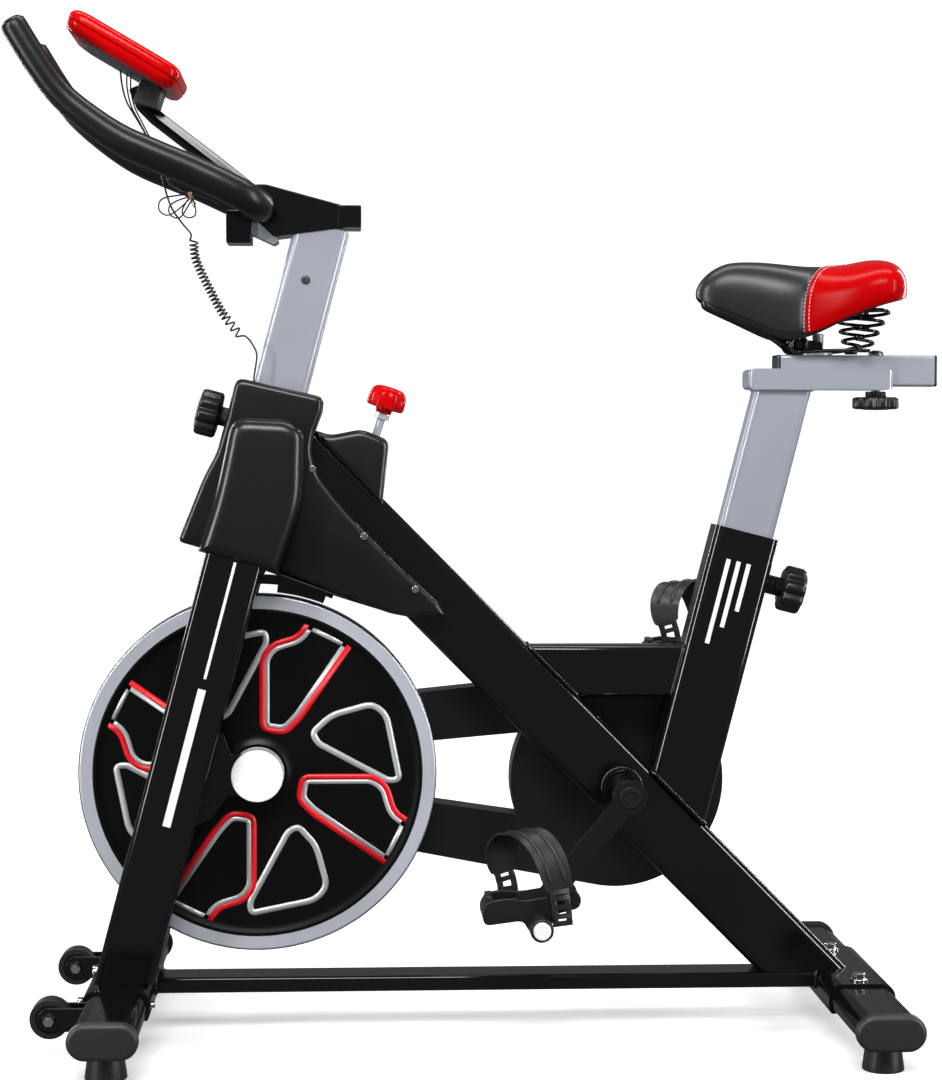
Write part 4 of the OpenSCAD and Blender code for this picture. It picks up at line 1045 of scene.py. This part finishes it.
def plain(profile, n):
    """A profile of (radius, height) turned without flutes, with flat ends."""
    return lobed([(r, h, 0) for r, h in profile], 1, n)


def knob_rows(height, start):
    """A fluted head with rounded edges, from its low side up to a domed top."""
    # Shares of the radius, the height and the flutes' depth
    shape = [(0.42, 0, 0), (0.86, 0, 0.6), (0.96, 0.05, 0.9), (1, 0.13, 1), (1, 0.72, 1),
             (0.985, 0.82, 0.95), (0.93, 0.90, 0.75), (0.84, 0.935, 0.4), (0.74, 0.94, 0.1), (0.70, 0.91, 0),
             (0.64, 0.905, 0), (0.60, 0.95, 0), (0.45, 0.99, 0), (0.2, 1, 0)]
    return [(a * KNOB_R, start + b * height, c * KNOB_FLUTE) for a, b, c in shape]


def ribbed_collar(radius, height, start):
    """A short collar with fine ribs along it."""
    top = start + height
    return [(radius, start, 0), (radius, start + 0.5, 0.8), (radius, top, 0.8), (radius - 1, top + 0.4, 0)]


KNOB_R, KNOB_FLUTE, KNOB_LOBES = 27, 4.2, 9
# Where each pull knob's face meets the frame, and the way out
KNOBS = {
    "front_knob": (MAST_FOOT + MAST_WAY * 0.646 - behind(MAST_WAY) * 0.051, -1),
    "seat_knob": (SEAT_TOP - SEAT_WAY * 0.052 + behind(SEAT_WAY) * 0.049, 1),
}


def add_knobs():
    """Fluted mouldings of the pull knobs and the rail's knob, and the bell of the red brake knob."""
    for name, (foot, way) in KNOBS.items():
        axis = Vector(JOINTS[name.replace("knob", "pin_pull")]["axis"])
        place = leaning(foot, axis if axis.x * way > 0 else -axis)
        knob = Shape().add(plain([(6, -18), (6, 0)], 32), place)
        knob.add(lobed(ribbed_collar(11, 9, 0), 28, 168), place)
        knob.add(lobed(knob_rows(27, 8.5), KNOB_LOBES, 180), place)
        obj = knob.piece(f"{name}_moulding", name, "matte_plastic", "knob_black", sharp=50)
        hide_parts(name)
    low_corner, high_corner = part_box("rail_knob")
    place = leaning(Vector(((low_corner.x + high_corner.x) / 2, 0, 0.7385)), (0, 0, -1))
    knob = Shape().add(lobed(ribbed_collar(12, 7, 0.5), 24, 144), place)
    knob.add(lobed(knob_rows(15, 7), KNOB_LOBES, 180), place)
    knob.add(plain([(5, -47), (5, 2)], 32), place, 1)
    over = place @ Matrix.Translation((0, 0, -0.0877)) @ Matrix.Rotation(math.pi, 4, "X")
    knob.add(plain([(4, -41), (5.2, -41.2), (8.4, -42.6), (9, -44), (9, -46.4)], 48), over, 1)
    looks = ["matte_plastic", "dark_steel"]
    obj = knob.piece("rail_knob_moulding", "rail_knob", looks, "knob_black", sharp=50)
    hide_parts("rail_knob")
    place = leaning(BRAKE_TOP, BRAKE_WAY)
    knob = Shape().add(plain([(6, 27), (8.5, 27), (9.5, 28), (9.5, 33)], 64), place)
    bell = [(9, 32, 0), (18, 32.4, 0.6), (21.6, 33.4, 1.4), (22.6, 36, 1.8), (22.6, 44, 1.8),
            (21.8, 49, 1.6), (20, 53, 1.2), (17, 55.8, 0.6), (12, 57.4, 0.1), (5, 58, 0)]
    knob.add(lobed(bell, 8, 160), place)
    obj = knob.piece("brake_knob_moulding", "brake_knob", "red_plastic", "knob_red", sharp=50)
    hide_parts("brake_knob")


# ---------- console ----------

def stack(sections):
    """Rounded rectangles (width, depth, radius, height) in millimetres, joined into one closed form."""
    rows = [(rounded(rectangle(width, depth), radius), height) for width, depth, radius, height in sections]
    return rings([[Vector((p.x, p.y, height)) * MM for p in loop] for loop, height in rows])


CONSOLE = Matrix.Translation((-0.398, 0, 1.114)) @ Matrix.Rotation(math.radians(30), 4, "Y")


def add_console():
    """Red casing in two shells with a display window, a dark back plate and its bracket."""
    rows = [(134, 134, 21, -0.4), (138, 138, 22, -0.4), (140, 140, 22.5, 0.4), (140, 140, 22.5, 6),
            (137, 137, 22, 9.5), (129, 129, 20, 12.6), (120, 120, 18, 13.8), (112, 112, 15, 14),
            (104, 104, 12, 14), (102, 102, 11, 13), (30, 30, 8, 12.8)]
    front = Shape().add(stack(rows), CONSOLE)
    front = front.piece("console_face", "handlebar", "red_plastic", "console_red", sharp=50)
    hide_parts("console_front")
    rows = [(84, 84, 14, -13.9), (112, 112, 18, -13.8), (124, 124, 20, -12.8), (134, 134, 22, -9.6),
            (138.6, 138.6, 22.4, -4.4), (139, 139, 22.5, -1.2), (136, 136, 21, -0.7)]
    casing = Shape().add(stack(rows), CONSOLE)
    casing = casing.piece("console_casing", "handlebar", "red_plastic", "console_red", sharp=50)
    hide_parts("console_back")
    rows = [(100, 100, 15, -13.0), (104, 104, 16, -13.6), (104, 104, 16, -14.2), (101, 101, 15, -14.6)]
    plate = Shape().add(stack(rows), CONSOLE)
    for k in range(5):
        rib = [(2.4, 40, 1.1, -15.0), (2.4, 40, 1.1, -13.5)]
        plate.add(stack(rib), CONSOLE @ Matrix.Translation(((-40 + 6 * k) * MM, 0, 0)))
    plate.piece("console_back_plate", "handlebar", "dark_plastic", "console_dark", sharp=40)
    bracket = Shape()
    hinge = Matrix.Translation((-0.3725, 0, 1.0695)) @ Matrix.Rotation(math.radians(18), 4, "Y")
    bracket.add(stack([(27, 40, 3, -13), (29, 42, 4, -11), (29, 42, 4, 11), (27, 40, 3, 13)]), hinge)
    for side in (LEFT, RIGHT):
        place = outward(hinge @ Vector((0, side * 0.0211, 0)), side)
        bracket.add(stack([(15, 13, 2, 0), (15, 13, 2, 0.9), (13, 11, 1.5, 1.2)]), place)
        bracket.add(bolt_head(3.2, 1.6), place @ Matrix.Translation((0, 0, 0.0012)))
    bracket.piece("console_bracket", "handlebar", "dark_plastic", "console_dark", sharp=40)
    window = Shape()
    window.add(stack([(62, 92, 6, 12.4), (62, 92, 6, 13.2), (60, 90, 5, 13.5)]),
               CONSOLE @ Matrix.Translation((-0.014, 0, 0)))
    window.piece("console_display", "handlebar", "display", "console_dark", sharp=40)


# ---------- handlebar ----------

# Side view of one arm, tip first, and how far out each point lies, in millimetres
ARM = [(-516, 95, 1138), (-489, 94, 1094), (-464, 92, 1060), (-434, 91, 1034), (-398, 90, 1010),
       (-360, 89, 993), (-320, 87, 977), (-285, 86, 961), (-261, 81, 949), (-246, 62, 940),
       (-240, 38, 937), (-240, 18, 937)]


# A grip's radius at its tip, and how much thicker it gets towards the post
GRIP_R, GRIP_GROWS, GRIP_END_R = 14.8, 2.4, 7.0
BAR_R = 12.7 * MM


def grip_radii(grip):
    """The radius at each point of a foam grip, with rounded ends."""
    total, along, radii = line_length(grip), 0.0, []
    for i, p in enumerate(grip):
        along += (p - grip[i - 1]).length if i else 0
        full = GRIP_R + GRIP_GROWS * min(max((along / total - 0.30) / 0.25, 0), 1)
        ends = shoulder(along / MM + 0.6, 7) * shoulder((total - along) / MM + 0.8, 9)
        radii.append((GRIP_END_R + (full - GRIP_END_R) * ends) * MM)
    return radii


def add_handlebar():
    """Foam grips with rounded ends, over the steel bar."""
    bar = Shape()
    for side, name in SIDES:
        route = spline([Vector((x, side * y, z)) * MM for x, y, z in ARM], 8)
        grip = route[:-14]
        foam = Shape().add(tube(grip, grip_radii(grip), 32))
        foam.piece(f"grip_{name}", "handlebar", "foam", "grip_foam", sharp=60)
        bar.add(tube(route[6:], BAR_R, 28))
    bar.add(tube([Vector((-0.240, y * MM, 0.937)) for y in (-19, -10, 0, 10, 19)], BAR_R, 28))
    bar.piece("grip_bar", "handlebar", "frame_paint", "handlebar_paint", sharp=50)
    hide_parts("handlebar_grips")


BAR_FIN = [(-262, 938), (-253, 969), (-240, 969), (-146, 944), (-150, 921), (-232, 910)]


def add_bar_bracket():
    """Folded plate between bar and post, with a square tube end at each side of it and a clamp strip."""
    bracket = Shape().add(slab_y(BAR_FIN, 3, -27, 27))
    for x0, x1, z0, z1, half in ((-160, -133, 921, 946, 30), (-286, -257, 903, 940, 24)):
        bracket.add(slab_y([(x0, z0), (x1, z0), (x1, z1), (x0, z1)], 2, -half, half))
    obj = bracket.piece("bar_bracket", "handlebar", "frame_paint", "handlebar_paint", sharp=35)
    soften(obj, 1.2 * MM)
    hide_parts("handlebar")
    strap = [(-260, 927), (-258, 914), (-232, 902), (-226, 906), (-240, 926)]
    clamp = Shape().add(slab_y(strap, 2, -19, 19))
    clamp.piece("bar_clamp_strip", "handlebar", "silver_paint", "post_silver", sharp=35)
    screw = [(0, 0.6), (2.2, 0.6), (2.6, 1.4), (4.6, 1.2), (5.2, 0.2), (5.2, -1)]
    screws = turned_pair(screw, 32, (-0.196, 0.0251, 0.8615))
    screws.piece("post_screws", "handlebar", "dark_steel", "bolt_steel", sharp=40)


def turned_pair(profile, n, place, closed=False):
    """The same turned form on both sides of the machine. place is the right one's, out from the middle."""
    pair = Shape()
    for side in (LEFT, RIGHT):
        pair.add(lathe(profile, n, closed), outward(Vector((place[0], side * place[1], place[2])), side))
    return pair


def bolt_head(size, height):
    """A six-sided head on a washer, along Z, in millimetres."""
    angles = [math.radians(60 * k) for k in range(6)]
    washer, washer_faces = lathe([(0, -0.3), (size * 1.25, -0.3), (size * 1.25, 1.0), (0, 1.0)], 32)
    corners = [Vector((size * math.cos(a), size * math.sin(a))) for a in angles]
    head, head_faces = prism(rounded(corners, 0.8, 2), 1.0, 1 + height)
    return washer + head, washer_faces + [[len(washer) + i for i in face] for face in head_faces]


# ---------- pedals ----------

PEDAL_TILT = math.radians(-8.7)
PEDAL_IN, PEDAL_OUT = 112, 200
STRAP_T = 2.4
STRAP_UNIT = 1000
# Middle line of the toe strap over the foot, near end first: ahead of the axis, out from the inner end, up
STRAP = [(20, 64, 39), (17, 63.5, 53), (12, 60, 69), (4, 52, 84), (-7, 40, 94), (-19, 27, 96),
         (-30, 15, 90), (-38, 7, 77), (-39, 4, 62), (-36, 2, 50)]
STRAP_OUTER_TAIL = [(24, 65, 4), (22.5, 65.5, 22), (20, 64, 39)]
STRAP_INNER_TAIL = [(-36, 2, 50), (-32, 2, 36), (-30, 3, 20)]
SIDE_PLATE = [(-60, 9), (-61, 24), (-52, 35), (-30, 35), (-14, 30), (14, 30), (24, 34), (42, 34), (50, 24),
              (46, 12), (16, 9), (13, -5), (0, -13), (-13, -5), (-17, 8)]


SPACER = [(-58, 10), (-56, 29), (-20, 27), (20, 27), (46, 28), (47, 14), (14, 4), (-14, 4)]
TREADS = [[(-60, 10), (-60, 25), (-53, 34), (-44, 34), (-44, 12)],
          [(36, 14), (36, 33), (42, 33), (49, 24), (46, 13)], [(-19, 22), (-19, 30), (19, 30), (19, 22)]]


def slab_y(outline, radius, y0, y1):
    """An outline in the x-z plane, in millimetres, made solid from y0 to y1."""
    points, faces = prism(rounded([Vector(o) for o in outline], radius, 4), y0, y1)
    return [(x, y, z) for x, z, y in points], [face[::-1] for face in faces]


def flat_bar(width, thickness):
    """The section of a flat moulded strap with eased edges, in millimetres: (across, up)."""
    w, t = width / 2, thickness
    section = [(-w, 0.6), (-w, t - 0.8), (-w + 0.8, t), (w - 0.8, t), (w, t - 0.8), (w, 0.6), (w - 0.6, 0),
               (-w + 0.6, 0)]
    return [(a * MM, b * MM) for a, b in section]


def slotted(shape, route, across, width, pitch, place):
    """A strap tail: two rails with a rung at each pitch, which leaves slots between them."""
    line = spline([Vector(p) * MM for p in route], 12)
    rail = (width - 9) / 2
    for way in (-1, 1):
        shift = across * way * (width - rail) / 2 * MM
        shape.add(strip([p + shift for p in line], across, flat_bar(rail, 2.6)), place)
    rungs = int(line_length(line) / (pitch * MM)) + 1
    for k in range(rungs + 1):
        at = min(int(k * (len(line) - 1) / rungs), len(line) - 2)
        way = (line[at + 1] - line[at]).normalized() * 2.6 * MM
        shape.add(strip([line[at] - way, line[at] + way], across, flat_bar(width, 3.4)), place)


def add_pedals():
    """Resin pedals with lobed cages and slotted toe straps."""
    for side, name in SIDES:
        axis = Vector(JOINTS[f"pedal_{name}_spin"]["pos_m"])
        level = Matrix.Translation((axis.x, 0, axis.z)) @ Matrix.Scale(side, 4, (0, 1, 0))
        place = level @ Matrix.Rotation(PEDAL_TILT, 4, "Y")
        add_pedal_cage(name, place)
        add_toe_strap(name, level @ Matrix.Translation((0, PEDAL_IN * MM, 0)))


def add_pedal_cage(name, place):
    """Barrel, side plates, spacers, treads with their studs, and the white cap on the spindle."""
    body = Shape()
    along_spindle = place @ Matrix.Rotation(math.radians(-90), 4, "X")
    barrel = [(7.2, PEDAL_IN), (12, PEDAL_IN), (13, PEDAL_IN + 1), (13, PEDAL_OUT - 2), (12, PEDAL_OUT),
              (7.2, PEDAL_OUT)]
    body.add(lathe(barrel, 40, closed=True), along_spindle)
    slabs = [(SIDE_PLATE, 7, y, y + 7) for y in (114, 164)] + [(SPACER, 4, y, y + 5) for y in (129, 146)]
    for slab in slabs + [(tread, 4, 119, 166) for tread in TREADS]:
        body.add(slab_y(*slab), place)
    for x, z in ((-50, 35), (41, 34)):
        for y in (124, 136, 148, 160):
            body.add(block((7, 6, 5), (x, y, z), 1.6), place)
    obj = body.piece(f"pedal_cage_{name}", f"pedal_{name}", "matte_plastic", "pedal_plastic", sharp=35)
    weld_points(obj, 0.001)
    soften(obj, 1.2 * MM, 50)
    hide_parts(f"pedal_{name}")
    tip = max(abs(corner.y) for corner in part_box("pedal_spindles")) / MM
    button = [(0, 0.5), (4.0, 0.6), (4.3, 0.1), (5.3, 0.1), (5.6, 0.6), (8.6, 0.5), (9.6, -0.4), (9.6, -4)]
    cap = Shape().add(lathe([(r, tip + y) for r, y in button], 40), along_spindle)
    cap.piece(f"pedal_cap_{name}", f"pedal_{name}", "white_plastic", "cap_white", sharp=40)


def add_toe_strap(name, place):
    """A band over the foot with two raised ridges, and a slotted tail at each end."""
    strap = Shape()
    across = Vector((1, -0.18, 0.12)).normalized()
    line = spline([Vector(p) * MM for p in STRAP], 7)
    last = len(line) - 1
    # The section is drawn STRAP_UNIT wide, which leaves its edges sharp once it is scaled to its width
    widths = [(24 + 11 * shoulder(min(i, last - i), 16)) / STRAP_UNIT for i in range(last + 1)]
    strap.add(strip(line, across, flat_bar(STRAP_UNIT, 2.6), widths), place)
    for ridge in (-8, 8):
        ups = [strip_frame(line, i, across)[1] for i in range(last + 1)]
        tops = [p + (across * ridge + up * STRAP_T) * MM for p, up in zip(line, ups)][5:-12]
        ends = [STRAP_T * shoulder(min(i, len(tops) - 1 - i) + 0.4, 3) * MM for i in range(len(tops))]
        strap.add(tube(tops, ends, 12), place)
    slotted(strap, STRAP_OUTER_TAIL, across, 22, 11, place)
    slotted(strap, STRAP_INNER_TAIL, across, 23, 13, place)
    obj = strap.piece(f"toe_strap_{name}", f"pedal_{name}", "rubber", "strap_rubber", sharp=45)
    weld_points(obj, 0.001)
    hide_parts(f"strap_{name}")


# ---------- welds, marks and small parts ----------

def where_tube_meets(place, width, depth, radius, point, normal):
    """The outline of a tube along place's Z axis, on the plane through point."""
    axis = (place.to_3x3() @ Vector((0, 0, 1))).normalized()
    line = []
    for p in rounded([corner * MM for corner in rectangle(width, depth)], radius * MM, 6):
        start = place @ Vector((p.x, p.y, 0))
        line.append(start + axis * (Vector(point) - start).dot(normal) / axis.dot(normal))
    return line


WELD_PITCH, WELD_STEP, WELD_RIPPLE = 3.2, 1.1, 0.16


def bead(line, radius):
    """A rippled weld bead along a closed line."""
    points = line + line[:1]
    fine, radii, along = [], [], 0.0
    for a, b in zip(points, points[1:]):
        count = max(int((b - a).length / (WELD_STEP * MM)), 1)
        for k in range(count):
            ripple = WELD_RIPPLE * math.sin(2 * math.pi * along / (WELD_PITCH * MM))
            fine.append(a.lerp(b, k / count))
            radii.append(radius * MM * (1 + ripple))
            along += (b - a).length / count
    return tube(fine + [points[-1]], radii + [radius * MM], 8, closed_ends=False)


def add_welds():
    """Weld beads where the tubes of the frame meet, and on the seat post."""
    along = Vector((1, 0, 0))
    seat = leaning(SEAT_TOP, SEAT_WAY)
    brace = leaning(Vector((0.150, 0, 0.415)), along)
    floor_bar = leaning(Vector((0, 0, 0.056)), along)
    diagonal_face = (CRANK + behind(DIAGONAL_WAY) * 0.038, behind(DIAGONAL_WAY))
    seat_face = (SEAT_TOP - behind(SEAT_WAY) * 0.038, behind(SEAT_WAY))
    # Tube, width, depth and corner radius, the plane it meets, the bead's radius
    joins = [(seat, 76, 50, 10, diagonal_face, 2.6), (brace, 60, 40, 8, diagonal_face, 2.4),
             (brace, 60, 40, 8, seat_face, 2.4)]
    ends = [(floor_bar, 18, 50, 4, ((x, 0, 0), along), 2.2) for x in (-0.368, 0.394)]
    welds = Shape()
    for place, width, depth, corner, plane, radius in joins:
        welds.add(bead(where_tube_meets(place, width, depth, corner, *plane), radius))
    for side in (LEFT, RIGHT):
        angles = [2 * math.pi * k / 40 for k in range(40)]
        ring = [Vector((22.5 * math.cos(a), side * 22.3, 22.5 * math.sin(a))) for a in angles]
        welds.add(bead([CRANK + p * MM for p in ring], 2.4))
    for place, width, depth, corner, plane, radius in ends:
        welds.add(bead(where_tube_meets(place, width, depth, corner, *plane), radius))
    welds.piece("frame_welds", "frame", "frame_paint", "frame_paint", sharp=60)
    line = where_tube_meets(seat, 64, 38, 8, (0, 0, 0.7396), Vector((0, 0, 1)))
    post = Shape().add(bead(line, 2.2))
    post.piece("seat_post_weld", "seat_post", "silver_paint", "post_silver", sharp=60)


def stripe(a, b, width, side):
    """A thin raised stripe from a to b on a face of one side."""
    line = [Vector((-side * p.x, p.z)) / MM for p in (a, b)]
    return band(line, width, -0.2, MARK_TOP, closed=False)


def add_marks():
    """Plain white stripes where the machine carries its markings."""
    stripes = Shape()
    low, high = (MAST_FOOT + MAST_WAY * along + behind(MAST_WAY) * 0.002 for along in (0.185, 0.492))
    top = SEAT_TOP - SEAT_WAY * 0.035
    for side in (LEFT, RIGHT):
        leg, post = (outward(Vector((0, side * y, 0)), side) for y in (0.068, 0.025))
        for a, b, width in ((0.0, 0.52, 9), (0.56, 1.0, 3.2)):
            stripes.add(stripe(low.lerp(high, a), low.lerp(high, b), width, side), leg)
        for across, length in ((-0.014, 0.100), (-0.002, 0.078), (0.010, 0.056)):
            start = top + behind(SEAT_WAY) * across
            stripes.add(stripe(start, start - SEAT_WAY * length, 5, side), post)
    stripes.piece("white_stripes", "frame", "white_plastic", "frame_paint", sharp=40)


PLUG_WIDTH = 76
# How far in and how far out, from the side to the end face
PLUG_EDGE = [(0, -13), (0, -5), (0.6, -2.8), (2, -1.0), (4.4, -0.1), (6, 0)]
PLUG_STEPS = 24


def add_tube_plugs():
    """Rounded plugs in the four ends of the stabilizer tubes."""
    low_corner, high_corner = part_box("stabilizer_end_caps")
    middle = (low_corner.z + high_corner.z) / 2
    height = (high_corner.z - low_corner.z) / MM
    flank = (PLUG_WIDTH - height) / 2
    rows = []
    for inwards, out in PLUG_EDGE:
        r = height / 2 - inwards
        row = []
        for way, turn in ((1, -math.pi / 2), (-1, math.pi / 2)):
            angles = [turn + math.pi * k / (PLUG_STEPS - 1) for k in range(PLUG_STEPS)]
            row += [Vector((way * flank + r * math.cos(a), r * math.sin(a), out)) * MM for a in angles]
        rows.append(row)
    plugs = Shape()
    for x in (low_corner.x + PLUG_WIDTH / 2 * MM, high_corner.x - PLUG_WIDTH / 2 * MM):
        for side in (LEFT, RIGHT):
            plugs.add(rings(rows), outward(Vector((x, side * high_corner.y, middle)), side))
    plugs = plugs.piece("tube_plugs", "frame", "cap_plastic", "end_cap_plastic", sharp=60)
    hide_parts("stabilizer_end_caps")


def add_rail_plugs():
    """End plugs of the saddle's rail."""
    low_corner, high_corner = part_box("seat_rail")
    width, height = (high_corner.y - low_corner.y) / MM, (high_corner.z - low_corner.z) / MM
    # Wider or narrower than the rail, corner radius, how far in
    steps = [(-0.6, 4, 0), (0.4, 4.4, 0.6), (0.4, 4.4, 3.0), (-5.4, 2, 3.2), (-5.6, 2, 14)]
    plugs = Shape()
    for x, way in ((high_corner.x, -1), (low_corner.x, 1)):
        place = leaning(Vector((x, 0, (low_corner.z + high_corner.z) / 2)), (way, 0, 0))
        plugs.add(stack([(height + more, width + more, radius, z) for more, radius, z in steps]), place)
    plugs.piece("rail_plugs", "rail", "matte_plastic", "end_cap_plastic", sharp=40)


def add_flywheel_edge():
    """The dark edge round the flywheel's rim."""
    ring = [(203.9, -17.2), (204.6, -16.2), (204.6, 16.2), (203.9, 17.2), (203.2, 17.6), (203.2, -17.6)]
    edge = Shape().add(lathe(ring, 180, closed=True), outward(HUB, LEFT))
    edge.piece("flywheel_edge", "flywheel", "dark_steel", "flywheel_iron", sharp=60)


def add_small_parts():
    """Wheel nuts, crank caps and bearing cups."""
    nuts = Shape()
    nut = [(0, 5), (3.2, 5), (3.4, 3.6), (6, 3.4), (6.4, 0.2), (6.4, -1)]
    for _, name in SIDES:
        hub = Vector(JOINTS[f"transport_wheel_{name}_spin"]["pos_m"])
        for side in (LEFT, RIGHT):
            nuts.add(lathe(nut, 6), outward(hub + Vector((0, side * 0.019, 0)), side))
    nuts.piece("wheel_nuts", "frame", "chrome", "bolt_steel", sharp=30)
    cap = [(12.5, -3), (12.5, 1.5), (11.5, 2.6), (8.0, 2.8), (7.4, 1.2), (0, 1.2)]
    caps = turned_pair(cap, 40, (CRANK.x, 0.1045, CRANK.z))
    caps.piece("crank_caps", "crank", "matte_plastic", "crank_paint", sharp=40)
    cup = [(9.2, 0.2), (9.2, 1.2), (13, 1.6), (17.5, 1.6), (18, 0.9), (21.2, 0.9), (21.8, 0.2)]
    cups = turned_pair(cup, 64, (CRANK.x, 0.036, CRANK.z), closed=True)
    cups.piece("bracket_cups", "frame", "frame_paint", "frame_paint", sharp=35)


# ---------- making ----------

add_camera()
add_cords()
add_studio()
dress_cad_nodes()
add_flywheel_faces()
add_saddle()
add_covers()
add_knobs()
add_console()
add_handlebar()
add_bar_bracket()
add_pedals()
add_welds()
add_marks()
add_rail_plugs()
add_flywheel_edge()
add_tube_plugs()
add_small_parts()
